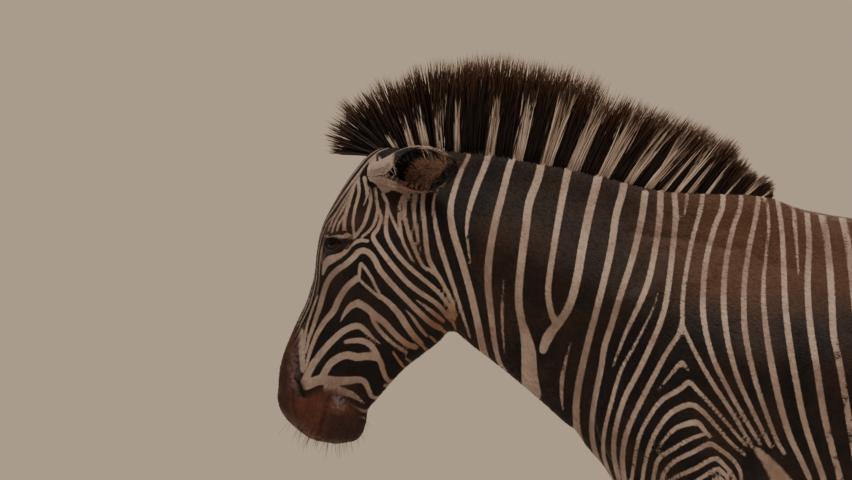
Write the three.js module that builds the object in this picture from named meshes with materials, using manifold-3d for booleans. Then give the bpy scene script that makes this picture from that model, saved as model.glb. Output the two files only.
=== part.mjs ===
// A Grevy's zebra standing at rest with its neck level and its face hanging down, life size.
// Millimetres, +Z up. The head points to -X and its left side to -Y. The origin is on the floor,
// in the middle of the space the animal takes up.
//
// The flesh is one smooth body, described by lofts (trunk and neck, head, four legs, tail) that are
// blended together, with swells and hollows over them for muscle and bone. It is modelled with the
// neck straight ahead, parted into named pieces by thin cuts, and only then is the neck bent to one
// side. Lengths below are measured from the withers: x forward is negative, z is up from the floor.

import * as THREE from 'three';
import Module from 'manifold-3d';
import { mergeVertices } from 'three/addons/utils/BufferGeometryUtils.js';

// ---------------------------------------------------------------- driving sizes

const GAP = 0.4;                      // clearance left by each thin cut
const LEG_INSET = 3;                  // extra clearance of a leg in the trunk, for the flat facets
const STANCE = { foreLeft: -55, foreRight: 45, hindLeft: 35, hindRight: -60 };
const NECK_TURN = THREE.MathUtils.degToRad(13);  // the face is turned this far to the right
const TURN_FROM = -345;               // the neck starts to bend here
const TURN_TO = -655;                 // and has bent here
const EYE = { x: -893, y: 66, z: 1336, radius: 22 };

// Each row of a loft is one cross-section: the front or top edge (x, z), the rear or bottom edge
// (x, z), half widths near the front edge, in the middle and near the rear edge, and how far the
// section lies to the side of the midline.
const TRUNK_AND_NECK = [
  [-800, 1530, -745, 1290, 45, 70, 50],     // inside the poll
  [-715, 1545, -700, 1200, 48, 88, 62],
  [-600, 1537, -645, 1140, 48, 98, 68],     // throat
  [-480, 1519, -570, 1080, 50, 108, 74],
  [-355, 1490, -495, 1018, 54, 122, 84],
  [-230, 1457, -420, 950, 60, 140, 100],
  [-110, 1448, -355, 880, 64, 162, 120],    // breast
  [-20, 1443, -300, 805, 66, 185, 125],     // withers
  [60, 1414, -190, 755, 80, 205, 120],
  [150, 1396, -20, 748, 115, 222, 130],
  [270, 1382, 180, 742, 160, 250, 160],
  [400, 1374, 370, 730, 195, 275, 190],     // deepest part of the barrel
  [540, 1374, 550, 735, 210, 285, 200],
  [680, 1388, 710, 770, 215, 275, 180],
  [800, 1402, 830, 830, 205, 258, 150],     // croup
  [900, 1400, 930, 890, 190, 242, 120],
  [990, 1375, 1010, 930, 165, 215, 100],
  [1065, 1330, 1075, 980, 130, 175, 85],
  [1115, 1280, 1115, 1040, 75, 115, 60],
  [1140, 1230, 1135, 1110, 25, 45, 25],     // point of the rump
];
const HEAD = [
  [-790, 1545, -745, 1500, 20, 28, 20],     // poll
  [-836, 1532, -714, 1418, 52, 68, 50],
  [-878, 1486, -689, 1345, 66, 85, 70],
  [-914, 1429, -672, 1282, 80, 96, 72],
  [-941, 1374, -659, 1223, 88, 100, 66],    // brow
  [-952, 1324, -661, 1177, 84, 98, 58],
  [-958, 1271, -691, 1135, 66, 90, 50],
  [-972, 1219, -727, 1106, 54, 78, 44],
  [-993, 1173, -762, 1078, 46, 68, 38],
  [-1012, 1131, -792, 1047, 41, 60, 34],
  [-1027, 1089, -819, 1015, 38, 54, 32],
  [-1033, 1047, -842, 988, 40, 53, 33],
  [-1035, 1009, -848, 961, 42, 56, 38],     // nostrils
  [-1027, 979, -855, 938, 38, 54, 36],
  [-1004, 952, -869, 923, 32, 48, 30],
  [-974, 929, -892, 917, 20, 36, 20],
  [-949, 918, -918, 914, 6, 12, 6],         // lips
];
const FORELEG = [
  [-225, 1200, -95, 1240, 20, 26, 20, 92],  // inside the shoulder
  [-285, 1110, -40, 1150, 36, 54, 36, 100],
  [-312, 1020, -2, 1050, 46, 72, 46, 114],
  [-308, 945, 24, 960, 50, 80, 52, 126],
  [-278, 880, 34, 884, 48, 76, 50, 130],    // elbow
  [-240, 820, 18, 812, 43, 68, 43, 130],
  [-210, 755, -8, 742, 38, 58, 37, 126],
  [-186, 685, -38, 668, 33, 49, 31, 120],
  [-170, 605, -62, 592, 28, 40, 27, 116],
  [-160, 540, -76, 530, 25, 35, 25, 114],
  [-162, 482, -80, 474, 27, 38, 27, 113],   // knee
  [-164, 436, -82, 430, 27, 38, 26, 112],
  [-155, 392, -88, 386, 22, 31, 22, 111],
  [-149, 330, -94, 328, 17, 25, 17, 110],   // cannon bone
  [-147, 265, -92, 262, 17, 24.5, 17, 110],
  [-150, 215, -82, 212, 20, 29, 22, 109],
  [-158, 180, -86, 165, 21, 30, 22, 108],   // fetlock
  [-170, 150, -104, 128, 20, 27, 20, 107],
  [-184, 118, -122, 98, 22, 29, 22, 106],   // pastern
  [-196, 92, -128, 76, 26, 35, 26, 106],
];
const HIND_LEG = [
  [760, 1240, 1010, 1240, 40, 55, 40, 120], // inside the haunch
  [700, 1130, 1075, 1140, 60, 90, 60, 135],
  [668, 1030, 1108, 1040, 65, 105, 70, 142],
  [668, 935, 1105, 950, 62, 104, 62, 146],
  [690, 868, 1072, 865, 56, 92, 52, 148],   // stifle
  [738, 790, 1022, 775, 46, 72, 42, 143],
  [795, 712, 992, 695, 36, 56, 32, 137],
  [850, 640, 993, 628, 29, 43, 25, 131],
  [893, 580, 1022, 580, 27, 37, 20, 127],   // point of the hock
  [915, 525, 1028, 540, 27, 39, 22, 125],
  [925, 478, 1012, 480, 26, 38, 24, 124],
  [928, 430, 998, 432, 22, 32, 22, 123],
  [926, 370, 988, 372, 18, 27, 19, 122],    // cannon bone
  [922, 290, 980, 292, 18, 26, 18, 121],
  [915, 232, 985, 232, 21, 30, 23, 120],
  [906, 192, 978, 180, 22, 31, 23, 119],    // fetlock
  [893, 155, 958, 135, 20, 28, 21, 118],
  [879, 122, 942, 102, 23, 30, 23, 117],
  [868, 95, 938, 78, 27, 36, 27, 117],
];
const TAIL = [
  [1060, 1338, 1060, 1280, 26, 32, 26],     // inside the rump
  [1125, 1318, 1100, 1262, 24, 31, 24],
  [1172, 1268, 1126, 1232, 21, 28, 21],
  [1192, 1180, 1147, 1168, 19, 25, 19],
  [1197, 1070, 1157, 1066, 17, 22, 17],
  [1196, 960, 1159, 958, 16, 20, 16],       // end of the dock
  [1204, 880, 1152, 878, 24, 30, 24],
  [1210, 780, 1142, 778, 30, 38, 30],       // tuft
  [1206, 680, 1142, 678, 28, 36, 28],
  [1196, 600, 1148, 598, 18, 26, 18],
  [1184, 545, 1164, 543, 7, 10, 7],
];

// Muscle and bone that the lofts don't give, on both sides: where each runs from and to
// (x, y, z each), its radius, and its height, which is negative for a hollow.
const SWELLS = {
  scapulaSpine: [-130, 95, 1395, -250, 150, 1070, 50, 7],
  shoulderPoint: [-322, 140, 1005, -305, 160, 955, 55, 12],
  triceps: [-185, 185, 1085, -30, 170, 930, 70, 9],
  behindShoulder: [-60, 170, 1330, 40, 215, 1000, 45, -8],
  neckBase: [-170, 85, 1400, -390, 125, 1050, 42, -9],
  jugularGroove: [-640, 80, 1205, -450, 108, 1040, 32, -8],
  upperNeck: [-650, 66, 1455, -330, 90, 1375, 55, 4],
  breast: [-375, 48, 905, -310, 62, 835, 48, 12],
  breastGroove: [-400, 0, 950, -330, 0, 830, 22, -9],
  flankHollow: [560, 240, 1185, 640, 225, 1090, 75, -15],
  hipPoint: [640, 185, 1325, 690, 195, 1290, 45, 10],
  thigh: [800, 225, 1180, 960, 195, 1000, 105, 9],
  stifle: [705, 195, 890, 735, 190, 850, 52, 13],
  thighGroove: [955, 190, 1190, 1005, 165, 870, 26, -7],
  croupGroove: [760, 0, 1402, 1010, 0, 1372, 20, -4],
  brow: [-912, 72, 1366, -868, 86, 1372, 22, 9],
  lowerEyeRim: [-905, 88, 1306, -872, 98, 1302, 18, 4],
  templeHollow: [-852, 66, 1428, -838, 74, 1412, 24, -8],
  faceCrest: [-880, 96, 1290, -925, 80, 1205, 20, 5],
  cheek: [-765, 95, 1330, -725, 90, 1235, 70, 9],
  jawEdge: [-690, 66, 1178, -800, 48, 1082, 26, 5],
  noseSideHollow: [-965, 52, 1130, -915, 68, 1185, 34, -5],
  nasalRidge: [-985, 0, 1235, -1030, 0, 1060, 26, 3],
  nostrilFlare: [-1022, 34, 1010, -1003, 44, 972, 22, 8],
  chin: [-898, 0, 930, -890, 0, 935, 26, 5],
};

// ---------------------------------------------------------------- the smooth body

const STEPS_PER_ROW = 6;
const lerp = THREE.MathUtils.lerp;
const clamp = THREE.MathUtils.clamp;
const smoothstep = (a, b, x) => THREE.MathUtils.smoothstep(x, a, b);

// A curve through every row of a table, in STEPS_PER_ROW steps from one row to the next.
function curveThrough(rows) {
  const first = rows[0].map((v, k) => 2 * v - rows[1][k]);
  const last = rows.at(-1).map((v, k) => 2 * v - rows.at(-2)[k]);
  const points = [first, ...rows, last];
  const curve = [];
  for (let i = 1; i < rows.length; i++) {
    const [a, b, c, d] = points.slice(i - 1, i + 3);
    for (let step = 0; step < STEPS_PER_ROW; step++) {
      const t = step / STEPS_PER_ROW;
      curve.push(b.map((v, k) => v + 0.5 * t * ((c[k] - a[k])
        + t * ((2 * a[k] - 5 * v + 4 * c[k] - d[k]) + t * (3 * v - 3 * c[k] + d[k] - a[k])))));
    }
  }
  curve.push(rows.at(-1));
  return curve;
}

const FAR = 1000;                     // stands for "nowhere near"
const MARGIN = 100;                   // a loft is worked out this far round its sections

function blendSections(a, b, t) {
  return {
    x: lerp(a.x, b.x, t), z: lerp(a.z, b.z, t), ux: lerp(a.ux, b.ux, t), uz: lerp(a.uz, b.uz, t),
    half: lerp(a.half, b.half, t), front: lerp(a.front, b.front, t), middle: lerp(a.middle, b.middle, t),
    back: lerp(a.back, b.back, t), y: lerp(a.y, b.y, t),
  };
}

// Joins two distances with a fillet whose width is about `spread`.
function smoothUnion(a, b, spread) {
  const t = clamp(0.5 + (0.5 * (b - a)) / spread, 0, 1);
  return lerp(b, a, t) - spread * t * (1 - t);
}

// A body of squared-off elliptical sections, as a distance that is negative inside it.
class Loft {
  constructor(rows, { power, side = 0, shift = 0 }) {
    this.power = power;
    this.sections = curveThrough(rows).map(([fx, fz, bx, bz, front, middle, back, y = 0]) => {
      const depth = Math.hypot(fx - bx, fz - bz);
      return {
        x: (fx + bx) / 2 + shift, z: (fz + bz) / 2, ux: (fx - bx) / depth, uz: (fz - bz) / depth,
        half: depth / 2, front, middle, back, y: y * side,
      };
    });
    const start = this.sections[0];
    const end = this.sections.at(-1);
    const along = this.sections.reduce((sum, s) => sum - s.uz * (end.x - start.x) + s.ux * (end.z - start.z), 0);
    this.turn = Math.sign(along);
    this.box = new THREE.Box3();
    for (const s of this.sections) {
      const reach = Math.max(s.half, s.middle) + MARGIN;
      this.box.expandByPoint(new THREE.Vector3(s.x - reach, s.y - reach, s.z - reach));
      this.box.expandByPoint(new THREE.Vector3(s.x + reach, s.y + reach, s.z + reach));
    }
  }

  ahead(section, x, z) {              // how far a point lies beyond a section's plane
    return this.turn * (-section.uz * (x - section.x) + section.ux * (z - section.z));
  }

  section(place) {                    // the section at a place along the loft, from 0 to 1
    const at = clamp(place, 0, 1) * (this.sections.length - 1);
    const i = Math.min(Math.floor(at), this.sections.length - 2);
    return blendSections(this.sections[i], this.sections[i + 1], at - i);
  }

  distance(x, y, z) {
    if (x < this.box.min.x || x > this.box.max.x || z < this.box.min.z || z > this.box.max.z
      || y < this.box.min.y || y > this.box.max.y) return FAR;
    let passed = 0;
    for (const s of this.sections) if (this.ahead(s, x, z) > 0) passed += 1;
    const i = clamp(passed - 1, 0, this.sections.length - 2);
    const before = this.ahead(this.sections[i], x, z);
    const after = this.ahead(this.sections[i + 1], x, z);
    const s = blendSections(this.sections[i], this.sections[i + 1], clamp(before / Math.max(before - after, 1e-9), 0, 1));
    const height = ((x - s.x) * s.ux + (z - s.z) * s.uz) / s.half;
    const high = Math.abs(height);
    const width = lerp(s.middle, height > 0 ? s.front : s.back, smoothstep(0, 0.8, high));
    const wide = Math.abs(y - s.y) / width;
    const e = this.power;
    const round = Math.max((high ** e + wide ** e) ** (1 / e), 1e-6);
    const slope = round ** (1 - e) * Math.hypot(high ** (e - 1) / s.half, wide ** (e - 1) / width);
    const across = (round - 1) / Math.max(slope, 1e-4);
    return Math.max(across, -this.ahead(this.sections[0], x, z), this.ahead(this.sections.at(-1), x, z));
  }
}

const trunkLoft = new Loft(TRUNK_AND_NECK, { power: 2.2 });
const headLoft = new Loft(HEAD, { power: 2.35 });
const tailLoft = new Loft(TAIL, { power: 2.1 });
const LEGS = {
  fore_left: { loft: new Loft(FORELEG, { power: 2.2, side: -1, shift: STANCE.foreLeft }), spread: 64 },
  fore_right: { loft: new Loft(FORELEG, { power: 2.2, side: 1, shift: STANCE.foreRight }), spread: 64 },
  hind_left: { loft: new Loft(HIND_LEG, { power: 2.2, side: -1, shift: STANCE.hindLeft }), spread: 56 },
  hind_right: { loft: new Loft(HIND_LEG, { power: 2.2, side: 1, shift: STANCE.hindRight }), spread: 56 },
};
const HEAD_SPREAD = 34;

const swells = Object.values(SWELLS).map(([ax, ay, az, bx, by, bz, radius, height]) => ({
  a: new THREE.Vector3(ax, ay, az), along: new THREE.Vector3(bx - ax, by - ay, bz - az), radius, height,
}));
const SWELL_REACH = 2.6;              // in radii; a swell is flat beyond it
const offset = new THREE.Vector3();

function swelling(x, y, z) {
  let sum = 0;
  for (const { a, along, radius, height } of swells) {
    offset.set(x - a.x, Math.abs(y) - a.y, z - a.z);
    const t = clamp(offset.dot(along) / Math.max(along.lengthSq(), 1e-9), 0, 1);
    const ratio = offset.addScaledVector(along, -t).length() / radius;
    if (ratio < SWELL_REACH) sum += height * Math.exp(-ratio * ratio);
  }
  return sum;
}

function flesh(x, y, z) {
  let f = smoothUnion(trunkLoft.distance(x, y, z), headLoft.distance(x, y, z), HEAD_SPREAD);
  for (const { loft, spread } of Object.values(LEGS)) f = smoothUnion(f, loft.distance(x, y, z), spread);
  return f - swelling(x, y, z);
}

// ---------------------------------------------------------------- meshes and solids

const wasm = await Module();
wasm.setup();

function toSolid(geometry) {
  for (const name of ['normal', 'uv']) geometry.deleteAttribute(name);
  const merged = mergeVertices(geometry, 1e-4);
  return new wasm.Manifold(new wasm.Mesh({
    numProp: 3,
    vertProperties: new Float32Array(merged.attributes.position.array),
    triVerts: new Uint32Array(merged.index.array),
  }));
}

// A closed solid through rings of points. Its ends are closed by a fan, or, where the rings are
// folded flat (first half one face, second half the other), by a strip between the two faces.
function solidThroughRings(rings, folded = false) {
  const count = rings[0].length;
  const points = rings.flat();
  const triangles = [];
  const at = (ring, k) => ring * count + (k % count);
  for (let ring = 0; ring < rings.length - 1; ring++) {
    for (let k = 0; k < count; k++) {
      triangles.push(at(ring, k), at(ring + 1, k), at(ring + 1, k + 1));
      triangles.push(at(ring, k), at(ring + 1, k + 1), at(ring, k + 1));
    }
  }
  for (const [ring, way] of [[0, 1], [rings.length - 1, -1]]) {
    const add = (a, b, c) => triangles.push(...(way > 0 ? [a, b, c] : [a, c, b]));
    if (folded) {
      for (let k = 0; k < count / 2 - 1; k++) {
        const across = count - 1 - k;
        add(at(ring, k), at(ring, k + 1), at(ring, across - 1));
        add(at(ring, k), at(ring, across - 1), at(ring, across));
      }
    } else {
      const middle = new THREE.Vector3();
      for (const p of rings[ring]) middle.addScaledVector(p, 1 / count);
      points.push(middle);
      for (let k = 0; k < count; k++) add(points.length - 1, at(ring, k), at(ring, k + 1));
    }
  }
  let volume = 0;
  for (let i = 0; i < triangles.length; i += 3) {
    const [a, b, c] = triangles.slice(i, i + 3).map((v) => points[v]);
    volume += a.dot(b.clone().cross(c));
  }
  if (volume < 0) triangles.reverse();
  const geometry = new THREE.BufferGeometry().setFromPoints(points);
  geometry.setIndex(triangles);
  return toSolid(geometry);
}

// Where a ray from inside `field` leaves it.
function leavingPoint(field, from, direction, reach = 700) {
  let inside = 0;
  let outside = 0;
  const value = (t) => field(from.x + t * direction.x, from.y + t * direction.y, from.z + t * direction.z);
  for (let f = value(0); f <= 0 && outside < reach; f = value(outside)) {
    inside = outside;
    outside += clamp(-0.6 * f, 1.5, 30);
  }
  for (let k = 0; k < 14; k++) {
    const middle = (inside + outside) / 2;
    if (value(middle) > 0) outside = middle;
    else inside = middle;
  }
  return from.clone().addScaledVector(direction, inside);
}

// A solid of `field`, by rays across each section. A section has its middle (x, y, z), the way to
// its front edge (ux, uz), and its half sizes.
function solidOfField(sections, count, field) {
  return solidThroughRings(sections.map((s) => {
    const middle = new THREE.Vector3(s.x, s.y, s.z);
    const size = Math.hypot(s.ux, s.uz);
    return Array.from({ length: count }, (_, k) => {
      const turn = (2 * Math.PI * (k + 0.5)) / count;
      const high = (Math.cos(turn) * s.half) / size;
      const ray = new THREE.Vector3(high * s.ux, Math.sin(turn) * s.middle, high * s.uz).normalize();
      return leavingPoint(field, middle, ray);
    });
  }));
}

const places = (from, to, count) => Array.from({ length: count }, (_, i) => lerp(from, to, i / (count - 1)));

// A flat cut across the body through two points of the side view, facing the rump.
function crossCut([ax, az], [bx, bz]) {
  const normal = new THREE.Vector3(az - bz, 0, bx - ax).normalize();
  if (normal.x < 0) normal.negate();
  const level = normal.x * ax + normal.z * az;
  return {
    beyond: (x, y, z) => normal.x * x + normal.z * z - level,
    behind: (solid) => solid.trimByPlane(normal.toArray(), level + GAP / 2),
    ahead: (solid) => solid.trimByPlane(normal.clone().negate().toArray(), -(level - GAP / 2)),
  };
}

const largest = (solid) => solid.decompose().sort((a, b) => b.volume() - a.volume())[0];

// ---------------------------------------------------------------- head, neck and trunk

const CUT_REACH = 25;                 // solids run this far past a cut before they are cut
const LEG_ROOM = 95;                  // how far the trunk reaches into a leg
const TRUNK_CORNERS = 24;             // points round each section
const HEAD_CORNERS = 22;
const headCut = crossCut([-752, 1547], [-652, 1150]);
const neckCut = crossCut([-62, 1446], [-345, 870]);

function trunkSolid() {
  const field = (x, y, z) => Math.max(flesh(x, y, z), trunkLoft.distance(x, y, z) - LEG_ROOM);
  const sections = [...places(0.02, 0.3, 9), ...places(0.34, 0.9, 16), ...places(0.93, 0.999, 4)];
  return solidOfField(sections.map((place) => trunkLoft.section(place)), TRUNK_CORNERS, field);
}

function headSolid() {
  const field = (x, y, z) => Math.max(flesh(x, y, z), headCut.beyond(x, y, z) - CUT_REACH);
  const brow = headLoft.section(5 / (HEAD.length - 1));
  const fan = places(0, 1, 7).slice(0, -1).map((t) => {
    const angle = lerp(THREE.MathUtils.degToRad(106), Math.atan2(brow.uz, brow.ux), t);
    return {
      x: lerp(-684, brow.x, t), y: 0, z: lerp(1348, brow.z, t), ux: Math.cos(angle), uz: Math.sin(angle),
      half: lerp(200, brow.half, t), middle: lerp(90, brow.middle, t),
    };
  });
  const face = places(5 / (HEAD.length - 1), 0.995, 17).map((place) => headLoft.section(place));
  return headCut.ahead(solidOfField([...fan, ...face], HEAD_CORNERS, field));
}

// ---------------------------------------------------------------- legs

// A leg is parted from the trunk by a bullet-shaped socket that widens towards a domed top.
const SOCKETS = {
  fore: { x: -142, y: 126, wideX: 190, wideY: 106, top: 985, dome: 900, waist: 750, waistSize: 0.72 },
  hind: { x: 890, y: 146, wideX: 240, wideY: 132, top: 1015, dome: 890, waist: 770, waistSize: 0.68 },
};

function socketSize(socket, z) {      // the socket's half width at a height, as a share of its widest
  if (z > socket.top) return 0;
  if (z > socket.dome) return Math.sqrt(1 - ((z - socket.dome) / (socket.top - socket.dome)) ** 2);
  return lerp(socket.waistSize, 1, smoothstep(socket.waist, socket.dome, z));
}

function socketSolid(socket, shift, side, extra) {
  const profile = [new THREE.Vector2(0, -50)];
  const grow = 1 + extra / socket.wideY;
  for (const z of [-50, socket.waist, lerp(socket.waist, socket.dome, 0.5), socket.dome]) {
    profile.push(new THREE.Vector2(socketSize(socket, z) * grow, z));
  }
  for (let k = 1; k < 6; k++) {
    const turn = (k / 6) * (Math.PI / 2);
    profile.push(new THREE.Vector2(Math.cos(turn) * grow, lerp(socket.dome, socket.top + extra, Math.sin(turn))));
  }
  profile.push(new THREE.Vector2(0, socket.top + extra));
  const geometry = new THREE.LatheGeometry(profile, 20);
  geometry.rotateX(Math.PI / 2);
  geometry.scale(socket.wideX, socket.wideY, 1);
  geometry.translate(socket.x + shift, side * socket.y, 0);
  const solid = toSolid(geometry);
  if (solid.volume() < 0) throw new Error('socket is inside out');
  return solid;
}

function placeAtHeight(loft, z) {     // where along a leg its middle is at this height
  let [low, high] = [0, 1];
  for (let k = 0; k < 20; k++) {
    const middle = (low + high) / 2;
    if (loft.section(middle).z > z) low = middle;
    else high = middle;
  }
  return low;
}

function legSolids({ loft }, socket, shift, side, knee) {
  const grow = CUT_REACH / socket.wideY;
  const field = (x, y, z) => {
    const out = Math.hypot((x - socket.x - shift) / socket.wideX, (y - side * socket.y) / socket.wideY);
    const inSocket = (out - socketSize(socket, z - CUT_REACH) - grow) * socket.wideY;
    return Math.max(flesh(x, y, z), inSocket);
  };
  const rings = (top, bottom, count, corners) => {
    const sections = places(top, bottom, count).map((place) => loft.section(place));
    return solidOfField(sections, corners, field);
  };
  const above = placeAtHeight(loft, knee + CUT_REACH);
  const below = placeAtHeight(loft, knee - CUT_REACH);
  const upper = rings(placeAtHeight(loft, socket.top + 12), below, 8, 14);
  return {
    upper: upper.intersect(socketSolid(socket, shift, side, 0)).trimByPlane([0, 0, 1], knee + GAP / 2),
    lower: rings(above, 0.999, 12, 9).trimByPlane([0, 0, -1], -(knee - GAP / 2)),
  };
}

// A hoof: rows as in a loft, from the coronet down to the flat sole.
const HOOF = {
  fore: [[-198, 92, -127, 75, 29, 38, 29], [-214, 62, -127, 50, 33, 42, 31],
    [-232, 28, -130, 22, 36, 46, 33], [-246, 0, -134, 0, 38, 48, 34]],
  hind: [[866, 95, 939, 77, 29, 38, 29], [852, 64, 938, 51, 32, 41, 31],
    [836, 29, 934, 22, 34, 44, 32], [823, 0, 930, 0, 36, 46, 33]],
};

const HOOF_CORNERS = 14;

function hoofSolid(rows, shift, side, sidePlace) {
  return solidThroughRings(rows.map(([fx, fz, bx, bz, front, middle, back], i) => {
    const s = { x: (fx + bx) / 2, z: (fz + bz) / 2, ux: (fx - bx) / 2, uz: (fz - bz) / 2 };
    const drop = i === 0 ? GAP : 0;
    return Array.from({ length: HOOF_CORNERS }, (_, k) => {
      const turn = (2 * Math.PI * (k + 0.5)) / HOOF_CORNERS;
      const high = Math.cos(turn);
      const width = lerp(middle, high > 0 ? front : back, smoothstep(0, 0.8, Math.abs(high)));
      return new THREE.Vector3(s.x + high * s.ux + shift, side * sidePlace + Math.sin(turn) * width,
        s.z + high * s.uz - drop);
    });
  }));
}

// ---------------------------------------------------------------- ears, eyes, mane and tail

const EAR = {
  base: [-806, 56, 1486],             // middle of the root, on the left or the right
  along: [176, 80, 14],               // from root to tip
  opening: [-0.22, 0.93, -0.3],       // the way the hollow faces
  length: 192,
  wall: 7,
};
// Along the ear from 0 to 1: half width, depth of the hollow, and how far round the wall goes.
const EAR_SHAPE = [
  [-0.10, 24, 20, 165], [0.04, 29, 24, 160], [0.16, 38, 30, 146], [0.30, 47, 33, 128],
  [0.45, 51, 32, 112], [0.60, 50, 29, 100], [0.74, 44, 25, 94], [0.86, 33, 19, 90],
  [0.95, 20, 12, 90], [1.0, 9, 6, 90],
];

function earSolid(side) {
  const base = new THREE.Vector3(...EAR.base);
  const along = new THREE.Vector3(...EAR.along).normalize();
  const opening = new THREE.Vector3(...EAR.opening);
  opening.addScaledVector(along, -opening.dot(along)).normalize();
  const across = along.clone().cross(opening);
  const steps = 7;
  return solidThroughRings(EAR_SHAPE.map(([place, halfWidth, depth, round]) => {
    const face = (inset) => places(-1, 1, steps).map((t) => {
      const turn = THREE.MathUtils.degToRad(round * t);
      const p = base.clone().addScaledVector(along, place * EAR.length);
      p.addScaledVector(across, (halfWidth - inset) * Math.sin(turn));
      p.addScaledVector(opening, -(depth - inset) * Math.cos(turn));
      return new THREE.Vector3(p.x, side * p.y, p.z);
    });
    const wall = Math.min(EAR.wall, 0.5 * depth);
    return [...face(0), ...face(wall).reverse()];
  }), true);
}

function eyeSolid(side, extra) {
  const ball = new THREE.SphereGeometry(EYE.radius + extra, 10, 7);
  ball.rotateX(Math.PI / 2);
  ball.translate(EYE.x, side * EYE.y, EYE.z);
  return toSolid(ball);
}

// The mane stands up from the crest: where each lock is rooted (x), its length, and how far it
// leans towards the forehead from upright, in degrees.
const MANE = [
  [-826, 84, 84], [-819, 113, 68], [-788, 145, 41], [-756, 160, 23], [-714, 171, 11], [-672, 187, 0],
  [-609, 209, -6], [-525, 203, -12], [-441, 193, -19], [-357, 171, -29], [-273, 173, -37],
  [-189, 149, -39], [-105, 85, -38], [-42, 49, -51], [-16, 24, -60],
];
const MANE_ROOT = 15;                 // it starts this far inside the neck
const MANE_SECTION = [[0, 23], [0.3, 22], [0.65, 16], [1, 6]];   // share of the height, half thickness

function crestHeight(x) {             // the top of the flesh in the middle
  let [low, high] = [1400, 1600];
  for (let k = 0; k < 16; k++) {
    const middle = (low + high) / 2;
    if (flesh(x, 0, middle) < 0) low = middle;
    else high = middle;
  }
  return low;
}

function maneSolid() {
  const rows = curveThrough(MANE).filter((_, i) => i % 3 === 0);
  return solidThroughRings(rows.map(([x, length, lean]) => {
    const angle = THREE.MathUtils.degToRad(lean);
    const way = new THREE.Vector3(-Math.sin(angle), 0, Math.cos(angle));
    const root = new THREE.Vector3(x, 0, crestHeight(x)).addScaledVector(way, -MANE_ROOT);
    const face = (side) => MANE_SECTION.map(([share, thick]) => {
      const p = root.clone().addScaledVector(way, share * (length + MANE_ROOT));
      return p.setY(side * Math.min(thick, 0.3 * length));
    });
    return [...face(-1), ...face(1).reverse()];
  }), true);
}

const tuftCut = 930;                  // the tuft hides the dock below this height

function tailSolid() {
  const field = (x, y, z) => tailLoft.distance(x, y, z);
  return solidOfField(places(0.02, 0.999, 19).map((place) => tailLoft.section(place)), 10, field);
}

// ---------------------------------------------------------------- the pieces

const pieces = {};
const wholeTrunk = trunkSolid();
const head = headSolid();
const sides = { left: -1, right: 1 };
let body = wholeTrunk;                // without the legs

const KNEE = { fore: 452, hind: 520 }; // the upper leg is parted from the cannon here
for (const [name, leg] of Object.entries(LEGS)) {
  const [end, sideName] = name.split('_');
  const side = sides[sideName];
  const shift = STANCE[end + sideName[0].toUpperCase() + sideName.slice(1)];
  const socket = SOCKETS[end];
  const { upper, lower } = legSolids(leg, socket, shift, side, KNEE[end]);
  body = body.subtract(socketSolid(socket, shift, side, LEG_INSET));
  pieces[`${end === 'fore' ? 'forearm' : 'thigh'}_${sideName}`] = upper;
  pieces[`cannon_${name}`] = lower;
  pieces[`hoof_${name}`] = hoofSolid(HOOF[end], shift, side, end === 'fore' ? 106 : 117);
}
pieces.trunk = largest(neckCut.behind(body));
pieces.neck = largest(headCut.behind(neckCut.ahead(body)));

const EAR_CLEARANCE = 1;              // sideways and up, so that the turned facets stay apart
let skull = head;
for (const [sideName, side] of Object.entries(sides)) {
  skull = skull.subtract(eyeSolid(side, GAP));
  pieces[`eye_${sideName}`] = eyeSolid(side, 0);
  const clear = head.add(wholeTrunk).translate([0, side * EAR_CLEARANCE, EAR_CLEARANCE]);
  pieces[`ear_${sideName}`] = largest(earSolid(side).subtract(clear));
}
pieces.head = largest(skull);

const RAISE = 2;                      // the mane clears the facets of the crest by this much
pieces.mane = largest(maneSolid().subtract(head.add(wholeTrunk).translate([0, 0, RAISE])));
const tail = largest(tailSolid().subtract(wholeTrunk.translate([GAP, 0, 0])));
pieces.tail_dock = tail.trimByPlane([0, 0, 1], tuftCut + GAP / 2);
pieces.tail_tuft = tail.trimByPlane([0, 0, -1], -(tuftCut - GAP / 2));

// ---------------------------------------------------------------- the turn of the neck

const turnAt = (x) => NECK_TURN * smoothstep(0, 1, (TURN_FROM - x) / (TURN_FROM - TURN_TO));
const TURN_STEP = 5;
const drift = [0];                    // how far the midline has gone to the right, every TURN_STEP
for (let x = TURN_FROM; x > -1300; x -= TURN_STEP) {
  drift.push(drift.at(-1) + TURN_STEP * Math.tan(turnAt(x - TURN_STEP / 2)));
}

function turned(x, y, z) {
  const steps = Math.max((TURN_FROM - x) / TURN_STEP, 0);
  const whole = Math.floor(steps);
  const side = lerp(drift[whole], drift[whole + 1], steps - whole);
  const turn = turnAt(x);
  return [x + y * Math.sin(turn), side + y * Math.cos(turn), z];
}

// ---------------------------------------------------------------- the model

const CENTRE_X = 85;                  // the middle of the animal's length, from the withers
const COAT = { color: '#8d7c6f', roughness: 0.75, metalness: 0 };
const MATERIALS = {
  coat: new THREE.MeshStandardMaterial(COAT),
  hair: new THREE.MeshStandardMaterial({ color: '#2a211d', roughness: 0.85, metalness: 0 }),
  hoof: new THREE.MeshStandardMaterial({ color: '#3b3430', roughness: 0.5, metalness: 0 }),
  eye: new THREE.MeshStandardMaterial({ color: '#1c120d', roughness: 0.08, metalness: 0 }),
};
const MATERIAL_OF = { hoof: 'hoof', eye: 'eye', mane: 'hair', tail_tuft: 'hair' };

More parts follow.
